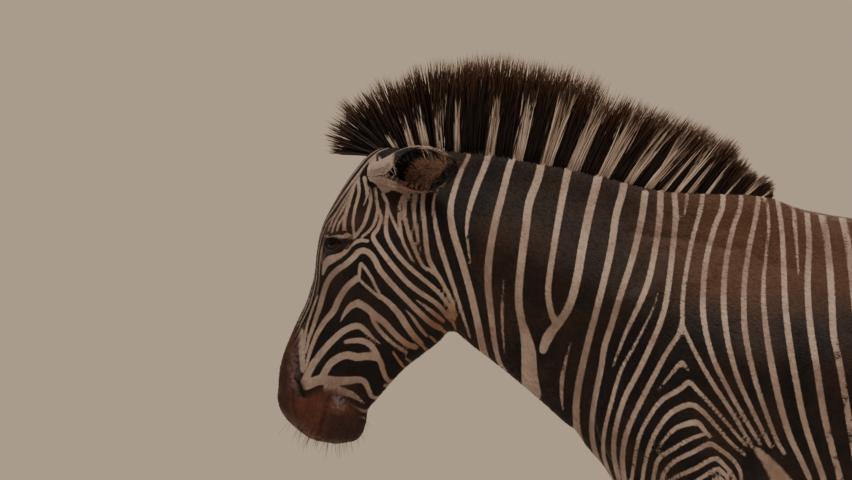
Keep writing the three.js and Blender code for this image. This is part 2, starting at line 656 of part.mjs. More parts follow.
const zebra = new THREE.Group();
for (const [name, solid] of Object.entries(pieces)) {
  const mesh = solid.getMesh();
  const geometry = new THREE.BufferGeometry();
  const position = new Float32Array(mesh.numVert * 3);
  for (let i = 0; i < mesh.numVert; i++) {
    const [x, y, z] = mesh.vertProperties.slice(i * mesh.numProp, i * mesh.numProp + 3);
    position.set(turned(x, y, z), 3 * i);
    position[3 * i] -= CENTRE_X;
  }
  geometry.setAttribute('position', new THREE.BufferAttribute(position, 3));
  geometry.setIndex(new THREE.BufferAttribute(new Uint32Array(mesh.triVerts), 1));
  geometry.computeVertexNormals();
  const kind = Object.keys(MATERIAL_OF).find((start) => name.startsWith(start));
  const piece = new THREE.Mesh(geometry, MATERIALS[MATERIAL_OF[kind] ?? 'coat']);
  piece.name = name;
  zebra.add(piece);
}

export default zebra;
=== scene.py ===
# A life-size standing Grevy's zebra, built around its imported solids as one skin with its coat.
#
# The flesh is a field: lofts for trunk and neck, head, legs and tail, blended together, with
# swells for muscle and bone. It is meshed with the neck straight ahead ("the straight pose", in
# millimetres from the withers), given its markings there, and then the neck is bent to its side.

import functools
import math

import bmesh
import bpy
import numpy as np
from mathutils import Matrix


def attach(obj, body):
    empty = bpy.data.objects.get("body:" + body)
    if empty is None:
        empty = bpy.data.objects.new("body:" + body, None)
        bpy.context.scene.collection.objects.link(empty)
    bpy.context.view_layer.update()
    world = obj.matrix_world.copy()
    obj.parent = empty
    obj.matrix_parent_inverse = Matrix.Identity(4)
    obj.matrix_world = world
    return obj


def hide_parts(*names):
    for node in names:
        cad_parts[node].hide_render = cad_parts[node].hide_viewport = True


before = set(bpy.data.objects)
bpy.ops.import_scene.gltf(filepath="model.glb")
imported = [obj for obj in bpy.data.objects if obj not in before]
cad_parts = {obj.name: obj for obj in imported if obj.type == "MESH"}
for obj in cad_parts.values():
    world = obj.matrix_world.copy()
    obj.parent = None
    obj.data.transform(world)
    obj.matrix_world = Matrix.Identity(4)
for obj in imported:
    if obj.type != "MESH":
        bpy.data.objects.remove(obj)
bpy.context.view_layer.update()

bl_info = {
    "name": "Standing zebra",
    "version": (1, 0, 0),
    "blender": (4, 5, 0),
    "location": "3D view > Sidebar > Zebra",
    "description": "Builds a life-size Grevy's zebra around its packed solids",
    "category": "Add Mesh",
}

MM = 0.001
RIGHT_AND_LEFT = {"left": -1, "right": 1}
CENTRE_X = 85                 # the middle of the animal's length, from the withers

# ---- the body's cross-sections
# Each row of a loft: the front or top edge (x, z), the rear or bottom edge (x, z), half widths
# near the front edge, in the middle and near the rear edge, and its place beside the midline.

TRUNK_AND_NECK = (
    (-800, 1530, -745, 1290, 45, 70, 50),      # inside the poll
    (-715, 1545, -700, 1200, 48, 88, 62),
    (-600, 1537, -645, 1140, 48, 98, 68),      # throat
    (-480, 1519, -570, 1080, 50, 108, 74),
    (-355, 1490, -495, 1018, 54, 122, 84),
    (-230, 1457, -420, 950, 60, 140, 100),
    (-110, 1448, -355, 880, 64, 162, 120),     # breast
    (-20, 1443, -300, 805, 66, 185, 125),      # withers
    (60, 1414, -190, 755, 80, 205, 120),
    (150, 1396, -20, 748, 115, 222, 130),
    (270, 1382, 180, 742, 160, 250, 160),
    (400, 1374, 370, 730, 195, 275, 190),      # deepest part of the barrel
    (540, 1374, 550, 735, 210, 285, 200),
    (680, 1388, 710, 770, 215, 275, 180),
    (800, 1402, 830, 830, 205, 258, 150),      # croup
    (900, 1400, 930, 890, 190, 242, 120),
    (990, 1375, 1010, 930, 165, 215, 100),
    (1065, 1330, 1075, 980, 130, 175, 85),
    (1115, 1280, 1115, 1040, 75, 115, 60),
    (1140, 1230, 1135, 1110, 25, 45, 25),      # point of the rump
)
HEAD = (
    (-790, 1545, -745, 1500, 20, 28, 20),      # poll
    (-836, 1532, -714, 1418, 52, 68, 50),
    (-878, 1486, -689, 1345, 66, 85, 70),
    (-914, 1429, -672, 1282, 80, 96, 72),
    (-941, 1374, -659, 1223, 88, 100, 66),     # brow
    (-952, 1324, -661, 1177, 84, 98, 58),
    (-958, 1271, -691, 1135, 66, 90, 50),
    (-972, 1219, -727, 1106, 54, 78, 44),
    (-993, 1173, -762, 1078, 46, 68, 38),
    (-1012, 1131, -792, 1047, 41, 60, 34),
    (-1027, 1089, -819, 1015, 38, 54, 32),
    (-1033, 1047, -842, 988, 40, 53, 33),
    (-1035, 1009, -848, 961, 42, 56, 38),      # nostrils
    (-1027, 979, -855, 938, 38, 54, 36),
    (-1004, 952, -869, 923, 32, 48, 30),
    (-974, 929, -892, 917, 20, 36, 20),
    (-949, 918, -918, 914, 6, 12, 6),          # lips
)
FORELEG = (
    (-225, 1200, -95, 1240, 20, 26, 20, 92),   # inside the shoulder
    (-285, 1110, -40, 1150, 36, 54, 36, 100),
    (-312, 1020, -2, 1050, 46, 72, 46, 114),
    (-308, 945, 24, 960, 50, 80, 52, 126),
    (-278, 880, 34, 884, 48, 76, 50, 130),     # elbow
    (-240, 820, 18, 812, 43, 68, 43, 130),
    (-210, 755, -8, 742, 38, 58, 37, 126),
    (-186, 685, -38, 668, 33, 49, 31, 120),
    (-170, 605, -62, 592, 28, 40, 27, 116),
    (-160, 540, -76, 530, 25, 35, 25, 114),
    (-162, 482, -80, 474, 27, 38, 27, 113),    # knee
    (-164, 436, -82, 430, 27, 38, 26, 112),
    (-155, 392, -88, 386, 22, 31, 22, 111),
    (-149, 330, -94, 328, 17, 25, 17, 110),    # cannon bone
    (-147, 265, -92, 262, 17, 24.5, 17, 110),
    (-150, 215, -82, 212, 20, 29, 22, 109),
    (-158, 180, -86, 165, 21, 30, 22, 108),    # fetlock
    (-170, 150, -104, 128, 20, 27, 20, 107),
    (-184, 118, -122, 98, 22, 29, 22, 106),    # pastern
    (-196, 92, -128, 76, 26, 35, 26, 106),
)
HIND_LEG = (
    (760, 1240, 1010, 1240, 40, 55, 40, 120),  # inside the haunch
    (700, 1130, 1075, 1140, 60, 90, 60, 135),
    (668, 1030, 1108, 1040, 65, 105, 70, 142),
    (668, 935, 1105, 950, 62, 104, 62, 146),
    (690, 868, 1072, 865, 56, 92, 52, 148),    # stifle
    (738, 790, 1022, 775, 46, 72, 42, 143),
    (795, 712, 992, 695, 36, 56, 32, 137),
    (850, 640, 993, 628, 29, 43, 25, 131),
    (893, 580, 1022, 580, 27, 37, 20, 127),    # point of the hock
    (915, 525, 1028, 540, 27, 39, 22, 125),
    (925, 478, 1012, 480, 26, 38, 24, 124),
    (928, 430, 998, 432, 22, 32, 22, 123),
    (926, 370, 988, 372, 18, 27, 19, 122),     # cannon bone
    (922, 290, 980, 292, 18, 26, 18, 121),
    (915, 232, 985, 232, 21, 30, 23, 120),
    (906, 192, 978, 180, 22, 31, 23, 119),     # fetlock
    (893, 155, 958, 135, 20, 28, 21, 118),
    (879, 122, 942, 102, 23, 30, 23, 117),
    (868, 95, 938, 78, 27, 36, 27, 117),
)
DOCK = (
    (1060, 1338, 1060, 1280, 26, 32, 26),      # inside the rump
    (1125, 1318, 1100, 1262, 24, 31, 24),
    (1172, 1268, 1126, 1232, 21, 28, 21),
    (1192, 1180, 1147, 1168, 19, 25, 19),
    (1197, 1070, 1157, 1066, 17, 22, 17),
    (1196, 960, 1159, 958, 16, 20, 16),
    (1192, 880, 1164, 878, 11, 14, 11),        # hidden in the tuft
)
STANCE = {"fore": (-55, 45), "hind": (35, -60)}     # how far each foot is set on, left and right

# Muscle and bone that the lofts don't give, on both sides: where each runs from and to
# (x, y, z each), its radius, and its height, which is negative for a hollow.
SWELLS = (
    (-130, 95, 1395, -250, 150, 1070, 50, 7),      # spine of the shoulder blade
    (-322, 140, 1005, -305, 160, 955, 55, 12),     # point of the shoulder
    (-185, 185, 1085, -30, 170, 930, 70, 9),       # muscle behind the upper arm
    (-60, 170, 1330, 40, 215, 1000, 45, -8),       # hollow behind the shoulder
    (-170, 85, 1400, -390, 125, 1050, 42, -9),     # base of the neck
    (-640, 80, 1205, -450, 108, 1040, 32, -8),     # jugular groove
    (-650, 66, 1455, -330, 90, 1375, 55, 4),       # upper neck
    (-375, 48, 905, -310, 62, 835, 48, 12),        # breast
    (-400, 0, 950, -330, 0, 830, 22, -9),          # groove of the breast
    (560, 240, 1185, 640, 225, 1090, 75, -15),     # flank hollow
    (640, 185, 1325, 690, 195, 1290, 45, 10),      # point of the hip
    (800, 225, 1180, 960, 195, 1000, 105, 9),      # thigh
    (705, 195, 890, 735, 190, 850, 52, 13),        # stifle
    (955, 190, 1190, 1005, 165, 870, 26, -7),      # groove of the thigh
    (760, 0, 1402, 1010, 0, 1372, 20, -4),         # groove of the croup
    (-912, 72, 1366, -868, 86, 1372, 22, 9),       # brow
    (-905, 88, 1306, -872, 98, 1302, 18, 4),       # below the eye
    (-852, 66, 1428, -838, 74, 1412, 24, -8),      # hollow of the temple
    (-880, 96, 1290, -925, 80, 1205, 20, 5),       # crest of the face
    (-765, 95, 1330, -725, 90, 1235, 70, 9),       # cheek
    (-690, 66, 1178, -800, 48, 1082, 26, 5),       # edge of the jaw
    (-965, 52, 1130, -915, 68, 1185, 34, -5),      # hollow beside the nose
    (-985, 0, 1235, -1030, 0, 1060, 26, 3),        # ridge of the nose
    (-1022, 34, 1010, -1003, 44, 972, 22, 8),      # flare of the nostril
    (-898, 0, 930, -890, 0, 935, 26, 5),           # chin
    (-176, 121, 470, -150, 124, 455, 20, 3),       # bones of the knee
    (-112, 128, 420, -102, 126, 300, 7, -3),       # between cannon bone and tendons
    (948, 138, 420, 952, 137, 300, 7, -3),
    (985, 128, 560, 1000, 124, 700, 9, -3),        # above the hock
)
NECK_TURN = math.radians(13)  # the face is turned this far to its right
TURN_FROM = -345
TURN_TO = -655
EYE = np.array((-893.0, 66.0, 1336.0))
EYE_RADIUS = 22
GAZE = np.array((-0.35, 0.93, 0.05))
LID_LINE = np.array((0.93, 0.35, 0.20))   # from the front corner of the eye to the rear one

# ---- markings
# Markings are drawn on a side view of the left side, whose unit is 2.1 mm: u runs back from the
# drawing's left edge and v down from its top. Each stripe has its half widths at the start, in
# the middle and at the end, and the places that it runs through.
VIEW_UNIT = 2.1
VIEW_MIDDLE = (426, 240)      # the middle of the drawing, in its units
VIEW_AT = (-807, 1345)        # and where that is on the animal (x, z), in mm
VIEW_FROM = 12000             # the side view is drawn as seen from this far away

TRUNK_STRIPES = (
    (3.5, 3, 2.6, (841, 214), (845, 230), (850, 262), (856, 320), (866, 400), (880, 475), (893, 520)),
    (3.6, 3.4, 2.8, (821, 212), (826, 236), (831, 285), (833, 330), (839, 362), (846, 402),
     (858, 475), (872, 520)),
    (2.6, 3.4, 3, (806, 204), (809, 242), (807.5, 285), (810, 325), (817, 370), (825, 420),
     (840, 478), (852, 515)),
    (2.2, 1.8, 0.6, (793, 203), (795, 228), (797, 255), (798.5, 276)),
    (2.2, 3.2, 2.8, (777, 197), (781.5, 228), (783.5, 265), (785, 302), (789, 340), (797, 387),
     (806, 428), (824, 480), (838, 515)),
    (1.2, 1.7, 1, (760, 193), (766.5, 203), (768.5, 225), (767, 244), (766, 256)),
    (1.6, 3.4, 2.6, (766, 254), (763.5, 280), (763.5, 305), (767, 337), (773, 372), (781, 408),
     (790, 437), (800, 458), (812, 484)),
    (2.3, 2.9, 1.9, (759, 191), (756, 215), (750, 243), (744.5, 280), (744, 320), (748, 350),
     (756, 383), (766, 413), (777, 441), (784, 453)),
    (2.2, 2.9, 1.8, (741.5, 191), (740, 208), (733, 228), (726, 262), (723.5, 300), (727, 337),
     (737, 376), (751, 408), (766, 438), (771, 447)),
    (2.6, 2.9, 1.8, (723, 191), (722, 208), (714, 229), (706.5, 258), (703, 290), (704, 322),
     (713, 358), (729, 391), (745, 419), (760, 444)),
    (2.4, 2.2, 2.2, (703, 191), (700, 211), (692, 240), (685.5, 275), (682.5, 300), (682.3, 322)),
    (2.2, 2.8, 2.4, (682, 322), (678, 335), (667, 352), (655, 374), (645, 393), (634, 415),
     (626, 435), (622.5, 455), (623.5, 475), (628, 500)),
    (1.8, 2.3, 1.6, (682, 323), (688, 338), (699, 360), (713.5, 385), (729.5, 409), (744.5, 434),
     (752, 447)),
    (0.8, 2.4, 1, (657.5, 390.5), (667, 379), (676, 368), (682, 362), (685, 366), (688.3, 370.5)),
    (1.6, 2.6, 1.4, (628, 500), (633, 470), (638.5, 439), (649, 417), (662, 400), (680, 389),
     (688.5, 382), (696, 389), (712, 406), (730, 427), (745, 445)),
    (1.8, 2.8, 1.4, (641, 495), (644, 468), (650, 445), (659, 427), (672, 412), (690, 404.5),
     (702, 411), (715, 425), (731, 443), (745, 455)),
    (0.7, 3, 1.6, (656.5, 450.5), (664, 440), (675, 428.5), (692, 422.5), (699.5, 424), (705, 431.5),
     (711, 437)),
    (2, 2.4, 1.8, (651, 495), (654.5, 472), (659, 458.5), (672, 449.5), (688, 440), (705, 433.5)),
    (2, 2.5, 1.6, (660, 490), (664, 473), (675, 461), (693, 452), (709, 444), (718, 448), (732, 459),
     (740, 471), (742, 486)),
    (2, 2.3, 1.6, (660, 488), (676, 477), (695, 468.5), (714, 458.5), (724, 465), (733, 476), (738, 488)),
    (1.6, 2.1, 1.2, (686, 487), (701, 478), (717, 469), (726, 476), (732, 486)),
    (1, 2, 1, (708, 485), (718.5, 477), (727, 485)),
)
NECK_STRIPES = (
    (2.1, 1.3, 0.5, (687, 191), (686, 205), (682.5, 220.5)),
    (2.8, 2.8, 2.2, (674, 191), (675.5, 215), (673, 245), (668.5, 285), (663, 314), (653, 340),
     (639, 370), (625, 397), (616.5, 424), (613.5, 448), (616, 468), (623, 495)),
    (0.6, 2, 1.9, (658, 293), (651, 313), (641.5, 332), (631.5, 351), (620.5, 371.5), (612, 400),
     (605, 428), (603, 450), (607, 468), (617, 492)),
    (3.2, 2.9, 0.7, (660.5, 191), (659.5, 218), (655, 249), (648, 282), (637, 309), (626, 332),
     (617, 355), (612.5, 367.5)),
    (3.4, 3, 2.2, (645, 193), (642, 215), (637, 240), (630, 266), (621, 293), (611, 326),
     (604.5, 346), (601, 368), (595, 398), (591.5, 428), (595, 452), (603, 472), (612, 490)),
    (3.8, 3.2, 3.6, (624, 172), (623, 190), (616, 215), (611.5, 246), (604.5, 278), (596.5, 310),
     (588, 342), (580, 377), (576, 405), (577, 430), (581, 445)),
    (0.6, 2.3, 0.7, (570.8, 342), (565.5, 361), (561.8, 380), (561.6, 398), (563, 410)),
    (4.2, 4.2, 4, (600, 168), (596, 186), (589, 213), (583, 243), (576.5, 280), (569, 306), (559, 323)),
    (4.2, 5.2, 3.8, (558.5, 323), (551, 332), (545.5, 342), (543, 350)),
    (3.8, 3, 3, (570, 162), (565.5, 182), (559.5, 213), (552.5, 255), (548, 290), (551, 312), (555, 322)),
    (4, 3.9, 3.8, (542, 158), (538, 178), (529, 203), (525.5, 230), (520.5, 268), (518.5, 300),
     (522, 324)),
    (3.6, 7.2, 9, (522, 322), (526, 338), (528.5, 352), (529.5, 376), (532, 394)),
    (0.5, 1.7, 0.6, (503.5, 279), (502.4, 300), (502.4, 325), (504.8, 354)),
    (3.2, 3.7, 1.7, (516, 150), (509, 168), (502, 195), (494.5, 225), (489, 257), (488, 285),
     (491, 314), (494.5, 342), (499, 361), (506, 373)),
    (3.2, 2.9, 0.6, (490.5, 141), (487, 160), (476, 188), (469, 211), (466.8, 233), (470.5, 263.5)),
    (1.6, 3.4, 3.4, (470, 146), (468, 157), (462, 169), (455, 188), (450.5, 209), (453, 231),
     (461, 258), (470, 290), (477, 320), (482, 345), (486, 360)),
    (0.7, 2.7, 1, (443, 182), (436, 193), (433.5, 210), (438.5, 239), (447, 267), (456, 294),
     (464, 319), (470, 338)),
)
HEAD_STRIPES = (
    (2.3, 2.4, 1.6, (424, 191), (422.5, 204), (425, 230), (428, 256), (435, 271), (443, 284),
     (451, 300), (456, 316)),
    (2.2, 2, 0.4, (415, 195), (413.6, 209), (416, 228), (419, 243), (420.7, 251.5)),
    (2, 2.2, 1.3, (408.7, 193), (405, 204), (405, 218), (409, 234), (415, 250), (423, 266),
     (433.5, 273.5)),
    (1.4, 1.8, 1.2, (404, 194), (400, 203), (399, 214), (400, 226), (402.5, 240), (407.5, 251),
     (411, 257.5)),
    (1, 1.1, 0.4, (410.5, 257.5), (412.5, 260), (414.6, 262.8)),
    (1.8, 2.3, 1.9, (383, 194), (387.5, 206), (386, 222), (387, 236), (395, 251), (407, 265),
     (422, 278), (437, 291), (448, 305), (454, 319)),
    (1.2, 1.6, 1.3, (388, 208), (392.5, 219), (396.5, 228), (400, 236)),
    (1.3, 2.6, 2.3, (378.5, 208), (381, 218), (377.5, 229), (373, 237), (380, 249), (393, 266),
     (407, 282), (421, 293), (437, 304), (449, 318)),
    (0.5, 2, 1.9, (416.5, 300), (426, 307), (436, 315), (443, 321)),
    (1.7, 1.6, 1.2, (375, 189), (376.5, 200), (377.7, 210), (374, 224), (368, 232), (362, 236.5)),
    (1.7, 1.9, 1.4, (369, 188), (370.6, 200), (368, 212), (364, 224), (358, 233), (354, 238)),
    (2, 1.5, 0.4, (364.5, 178), (366.5, 188), (366.7, 197), (363.5, 205.5)),
    (1, 1.7, 1.3, (380, 143), (367, 156), (359, 166), (358, 178), (359, 192), (355, 209), (353, 222),
     (354.3, 236)),
    (0.8, 1.6, 2.2, (378, 141), (364, 156), (356, 170), (353.5, 188), (348, 206), (344.5, 221),
     (345, 232), (350, 237)),
    (0.9, 1.8, 1.5, (324, 236), (333, 236.4), (343, 236.8), (349.5, 236)),
    (1.6, 2.1, 2.4, (367.5, 241), (360, 240.5), (352, 244), (346, 251), (341, 255), (335, 258)),
    (1.4, 4.3, 1.2, (346, 250.5), (340, 255.5), (333, 258.5), (327.3, 262), (324.8, 267), (322.8, 274)),
    (0.6, 0.9, 0.8, (319.6, 239), (320.4, 246), (322.4, 254), (321.5, 263)),
    (6, 9, 7.5, (375, 159), (378, 172), (386, 185)),
    (6, 6, 3.5, (390, 182), (405, 188), (419, 189.5)),
    (0.7, 1.3, 0.8, (381, 141), (367, 156), (358, 168), (346, 183), (336, 201), (328, 217), (323.6, 230)),
    (0.6, 1.2, 0.8, (363, 168), (355.7, 181), (345.5, 198), (334.5, 216), (328, 231)),
    (0.5, 1.2, 0.9, (358.5, 176), (352, 192), (341.4, 211), (335, 223), (332, 232)),
    (0.5, 1.2, 1, (350.5, 205), (343.5, 216), (338.5, 225), (337, 232)),
    (0.8, 1.5, 0.8, (449, 318), (453, 323), (456, 330)),
    (1.3, 1.9, 1.3, (440, 328), (446, 333), (450, 339)),
    (1.2, 1.7, 1.2, (430, 336), (436, 342), (440, 348)),
    (1.2, 1.7, 1.2, (421, 345), (427, 350), (431, 356)),
    (1, 1.6, 1.2, (393, 352), (400, 362), (407, 371)),
    (1, 1.5, 1.2, (406, 358), (413, 364), (418, 369)),
    (0.7, 1.2, 1, (397, 388), (402, 384), (405, 379)),
    (1.2, 2.6, 3, (306, 352), (308.5, 340), (312, 330), (316, 318), (320, 306), (323.5, 293),
     (328, 281), (336, 271), (346, 264), (354, 257)),
    (3, 2.8, 2.7, (354, 257), (359, 251.5), (366, 251), (373, 257), (380, 270), (390, 282),
     (404, 297), (418, 311), (431, 323), (440, 328)),
    (1.3, 3, 3.2, (306, 367), (311, 349), (317, 334), (325, 321), (333.5, 311), (339, 299),
     (347, 287), (357, 278.5)),
    (1.6, 1.6, 1.3, (359, 277), (360.6, 264), (365, 268), (371, 277), (376, 287), (379, 292)),
    (1.4, 1.5, 1.6, (360, 280), (366, 286), (373, 292), (380, 298)),
    (2.2, 3.4, 2.6, (379, 295), (389, 303), (399, 314), (406, 325), (414, 336), (421, 343)),
    (0.5, 1.9, 1.5, (405.5, 309.5), (413, 318), (420, 328), (427, 336)),
    (0.4, 2.6, 3.8, (340.5, 321.5), (345, 313), (351, 306), (358, 303)),
    (3.8, 3.1, 2.6, (358, 303), (366, 307.5), (375, 315), (386, 324), (395, 334), (407, 344), (416, 347)),
    (2, 2, 1.6, (371, 313), (374.5, 323), (381, 332), (389, 340), (398, 347), (406, 352)),
    (3.6, 3.3, 3, (304, 382), (311, 368), (319, 356), (330, 343), (342, 332), (352, 326.5)),
    (3.2, 2.6, 0.4, (352, 326.5), (359, 326), (366, 331), (373, 338), (380.5, 343.8)),
    (2, 3, 2.8, (345.5, 342), (353, 340.5), (363, 341), (371, 345.5), (377, 354)),
    (3.4, 3.8, 3.8, (323, 375), (330, 364), (338, 358), (347, 355), (357, 357), (368, 356), (376, 357)),
    (3, 2.3, 1.2, (377, 356), (381, 363), (384, 373), (388, 380), (393, 381), (399, 377)),
    (5, 4.6, 3.2, (306, 385), (320, 380), (336, 381), (348, 380.5), (358, 379.5)),
    (3.2, 2.3, 1, (358, 379.5), (364, 381), (368, 388), (371.5, 396), (377, 397.5), (384, 395)),
    (5, 3, 0.5, (328, 389), (342, 391.5), (352, 394.5), (359, 399), (364.3, 403.5)),
    (0.8, 1.5, 0.8, (351, 404), (357, 408), (365, 411), (371, 408), (376.5, 403.5)),
    (0.6, 1.1, 1.4, (353, 411.5), (358, 416), (364, 418)),
    (1, 1.1, 1.6, (317.5, 296), (314, 305), (310.5, 315), (307, 326), (305, 337), (303, 350)),
    (4, 3.2, 2.6, (299, 331), (301, 343), (302, 356), (303, 370)),
    (1.8, 1.8, 0.9, (385, 385.5), (389, 386.5), (392, 388)),
)
# Dark marks over the pale ones, and the dark and pale marks of the ears.
DARK_MARKS = (
    (0.8, 1.9, 1.5, (329, 235.6), (337, 233), (345.5, 232)),
    (0.6, 0.8, 0.8, (321, 237.3), (330, 239.3), (338, 239.8), (346, 239.4), (352.5, 236.2)),
    (0.9, 1, 0.8, (346.4, 249), (353, 241.4), (358.5, 236.5)),
    (0.8, 1.2, 0.7, (377, 150), (377.5, 160), (380, 168), (383.5, 175)),
    (0.4, 0.6, 0.4, (370.5, 183), (369.5, 190), (370.5, 197)),
    (0.4, 0.7, 0.5, (375, 186), (374, 193), (376, 200)),
    (0.4, 0.8, 0.6, (380, 189), (381, 196), (386, 204)),
    (0.4, 0.6, 0.6, (393, 194), (397, 196), (401, 195)),
)
EAR_BROWN = (
    (9, 15, 9.5, (409, 184), (424, 172), (438, 161)),
    (6, 7, 6, (403, 184), (412, 189), (424, 187)),
)
EAR_PALE = (
    (3.6, 4.4, 3.6, (422, 146), (437, 144), (452, 147)),
    (16, 16, 15, (378, 146), (377, 168), (381, 186)),
    (4, 5, 3, (388, 188), (402, 196), (420, 197)),
)

# Creases are drawn in the same way: half width and depth in mm, then their places.
CREASES = (
    (7, 5.0, (318, 444), (320, 432), (322, 424), (325, 412), (327, 403), (329, 399)),    # mouth
    (7, 1.8, (304, 396), (312, 392), (320, 386), (325, 384), (328, 385)),
    (6, 7.0, (296, 379), (299, 384), (301, 390), (302, 396)),                            # nostril
    (6, -2.5, (287, 372), (291, 378), (294, 388), (295, 398)),
    (9, 3.0, (632, 232), (655, 236), (690, 239), (715, 245), (745, 250), (765, 262), (795, 266)),
    (9, 1.6, (655, 251), (685, 254), (712, 262), (738, 272)),
    (5, 0.9, (322, 258), (332, 264), (344, 262), (354, 255)),                            # under the eye
    (5, 0.9, (316, 231), (328, 229.5), (342, 229.5), (354, 232)),
    (8, 1.2, (392, 262), (402, 290), (402, 330), (392, 358)),  # behind the cheek
    (8, 1.0, (470, 215), (474, 260), (484, 310), (494, 350)),
)

# ---- the field of the flesh

COAT_DEPTH = 2.5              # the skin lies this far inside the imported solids
STEPS_PER_ROW = 6
NEAR = 90                     # a loft is worked out this far round it, in mm, and is far beyond that
FAR = 1000.0


def smooth(start, end, x):
    """A soft step from 0 at the start to 1 at the end."""
    t = np.clip((x - start) / (end - start), 0, 1)
    return t * t * (3 - 2 * t)


def curve_through(rows, steps=STEPS_PER_ROW):
    """A smooth curve through every row, in that many steps from one row to the next."""
    p = np.array(rows, float)
    p = np.vstack([2 * p[0] - p[1], p, 2 * p[-1] - p[-2]])
    out = []
    for a, b, c, d in zip(p[:-3], p[1:-2], p[2:-1], p[3:]):
        for step in range(steps):
            t = step / steps
            bend = 2 * a - 5 * b + 4 * c - d + t * (3 * b - 3 * c + d - a)
            out.append(b + 0.5 * t * (c - a + t * bend))
    out.append(p[-2])
    return np.array(out)


def blend(a, b, spread):
    """Joins two fields with a fillet of about that width."""
    t = np.clip(0.5 + 0.5 * (b - a) / spread, 0, 1)
    return b + (a - b) * t - spread * t * (1 - t)


class Loft:
    """A body of squared-off elliptical sections, as a distance that is negative inside it."""

    def __init__(self, rows, power, side=0, shift=0):
        """Works out the sections from their rows."""
        table = curve_through([(*row, 0)[:8] for row in rows])
        self.front = table[:, 0:2] + [shift, 0]
        self.back = table[:, 2:4] + [shift, 0]
        self.middle = (self.front + self.back) / 2
        across = self.front - self.back
        self.half = np.linalg.norm(across, axis=1) / 2
        self.across = across / (2 * self.half[:, None])
        self.ahead = np.stack([-self.across[:, 1], self.across[:, 0]], 1)
        if self.ahead.sum(0) @ (self.middle[-1] - self.middle[0]) < 0:
            self.ahead = -self.ahead
        self.widths = table[:, 4:7]
        self.beside = table[:, 7] * side
        self.power = power
        reach = self.widths.max(1)
        flat = np.vstack([self.front, self.back])
        self.low = np.array([flat[:, 0].min(), (self.beside - reach).min(), flat[:, 1].min()])
        self.high = np.array([flat[:, 0].max(), (self.beside + reach).max(), flat[:, 1].max()])

    def place(self, points):
        """The section before each point, and how far on towards the next one it is."""
        flat = points[:, [0, 2]]
        beyond = flat @ self.ahead.T - (self.middle * self.ahead).sum(1)
        i = np.clip((beyond > 0).sum(1) - 1, 0, len(self.middle) - 2)
        rows = np.arange(len(flat))
        before = beyond[rows, i]
        after = beyond[rows, i + 1]
        t = np.clip(before / np.maximum(before - after, 1e-9), 0, 1)
        return i, t, np.maximum(-beyond[:, 0], beyond[:, -1])

    def section_at(self, points):
        """Each point's place along the loft and height on its section, the section's half height,
        half widths and place beside the midline, and how far the point is beyond the loft's ends."""
        i, t, ends = self.place(points)
        s = t[:, None]
        middle = self.middle[i] * (1 - s) + self.middle[i + 1] * s
        across = self.across[i] * (1 - s) + self.across[i + 1] * s
        widths = self.widths[i] * (1 - s) + self.widths[i + 1] * s
        half = self.half[i] * (1 - t) + self.half[i + 1] * t
        beside = self.beside[i] * (1 - t) + self.beside[i + 1] * t
        high = ((points[:, [0, 2]] - middle) * across).sum(1) / half
        return i + t, high, half, widths, beside, ends

    def round_about(self, points):
        """How far along each point is, from 0 to 1, and its angle round the loft."""
        along, high, _, widths, beside, _ = self.section_at(points)
        wide = (points[:, 1] - beside) / widths[:, 1]
        return along / (len(self.middle) - 1), np.arctan2(wide, high)

    def distance(self, points):
        """How far outside the body each point is, in mm."""
        out = np.full(len(points), FAR)
        near = ((points > self.low - NEAR) & (points < self.high + NEAR)).all(1)
        if not near.any():
            return out
        p = points[near]
        _, high, half, widths, beside, ends = self.section_at(p)
        edge = smooth(0, 0.8, np.abs(high))
        side_width = np.where(high > 0, widths[:, 0], widths[:, 2])
        width = widths[:, 1] + (side_width - widths[:, 1]) * edge
        h = np.maximum(np.abs(high), 1e-6)
        w = np.maximum(np.abs(p[:, 1] - beside) / width, 1e-6)
        e = self.power
        size = (h ** e + w ** e) ** (1 / e)
        slope = size ** (1 - e) * np.hypot(h ** (e - 1) / half, w ** (e - 1) / width)
        out[near] = np.maximum((size - 1) / np.maximum(slope, 1e-4), ends)
        return out


TRUNK = Loft(TRUNK_AND_NECK, 2.2)
FACE = Loft(HEAD, 2.35)
TAIL = Loft(DOCK, 2.1)
LEGS = {f"{end}_{name}": Loft(rows, 2.2, side, shift)
        for end, rows in (("fore", FORELEG), ("hind", HIND_LEG))
        for (name, side), shift in zip(RIGHT_AND_LEFT.items(), STANCE[end])}
FILLETS = {"head": 34, "fore": 64, "hind": 56, "tail": 22}
SWELL_REACH = 2.6             # in radii; a swell is flat beyond it


def mirrored_to_right(points):
    """The same points, or their twins on the right side."""
    out = points.copy()
    out[:, 1] = np.abs(out[:, 1])
    return out


def swelling(points):
    """How much muscle and bone raise the surface at each point, in mm."""
    mirrored = mirrored_to_right(points)
    out = np.zeros(len(points))
    for ax, ay, az, bx, by, bz, radius, height in SWELLS:
        start = np.array((ax, ay, az), float)
        along = np.array((bx, by, bz), float) - start
        reach = np.abs(along) / 2 + SWELL_REACH * radius
        near = (np.abs(mirrored - (start + along / 2)) < reach).all(1)
        if not near.any():
            continue
        away = mirrored[near] - start
        t = np.clip(away @ along / max(along @ along, 1e-9), 0, 1)
        away -= t[:, None] * along
        out[near] += height * np.exp(-(away ** 2).sum(1) / radius ** 2)
    return out


def flesh(points):
    """How far outside the skin each point is, in mm."""
    f = blend(TRUNK.distance(points), FACE.distance(points), FILLETS["head"])
    for name, leg in LEGS.items():
        f = blend(f, leg.distance(points), FILLETS[name[:4]])
    f = blend(f, TAIL.distance(points), FILLETS["tail"])
    f = f - swelling(points) + COAT_DEPTH
    return with_lids(points, f)


# ---- eyes

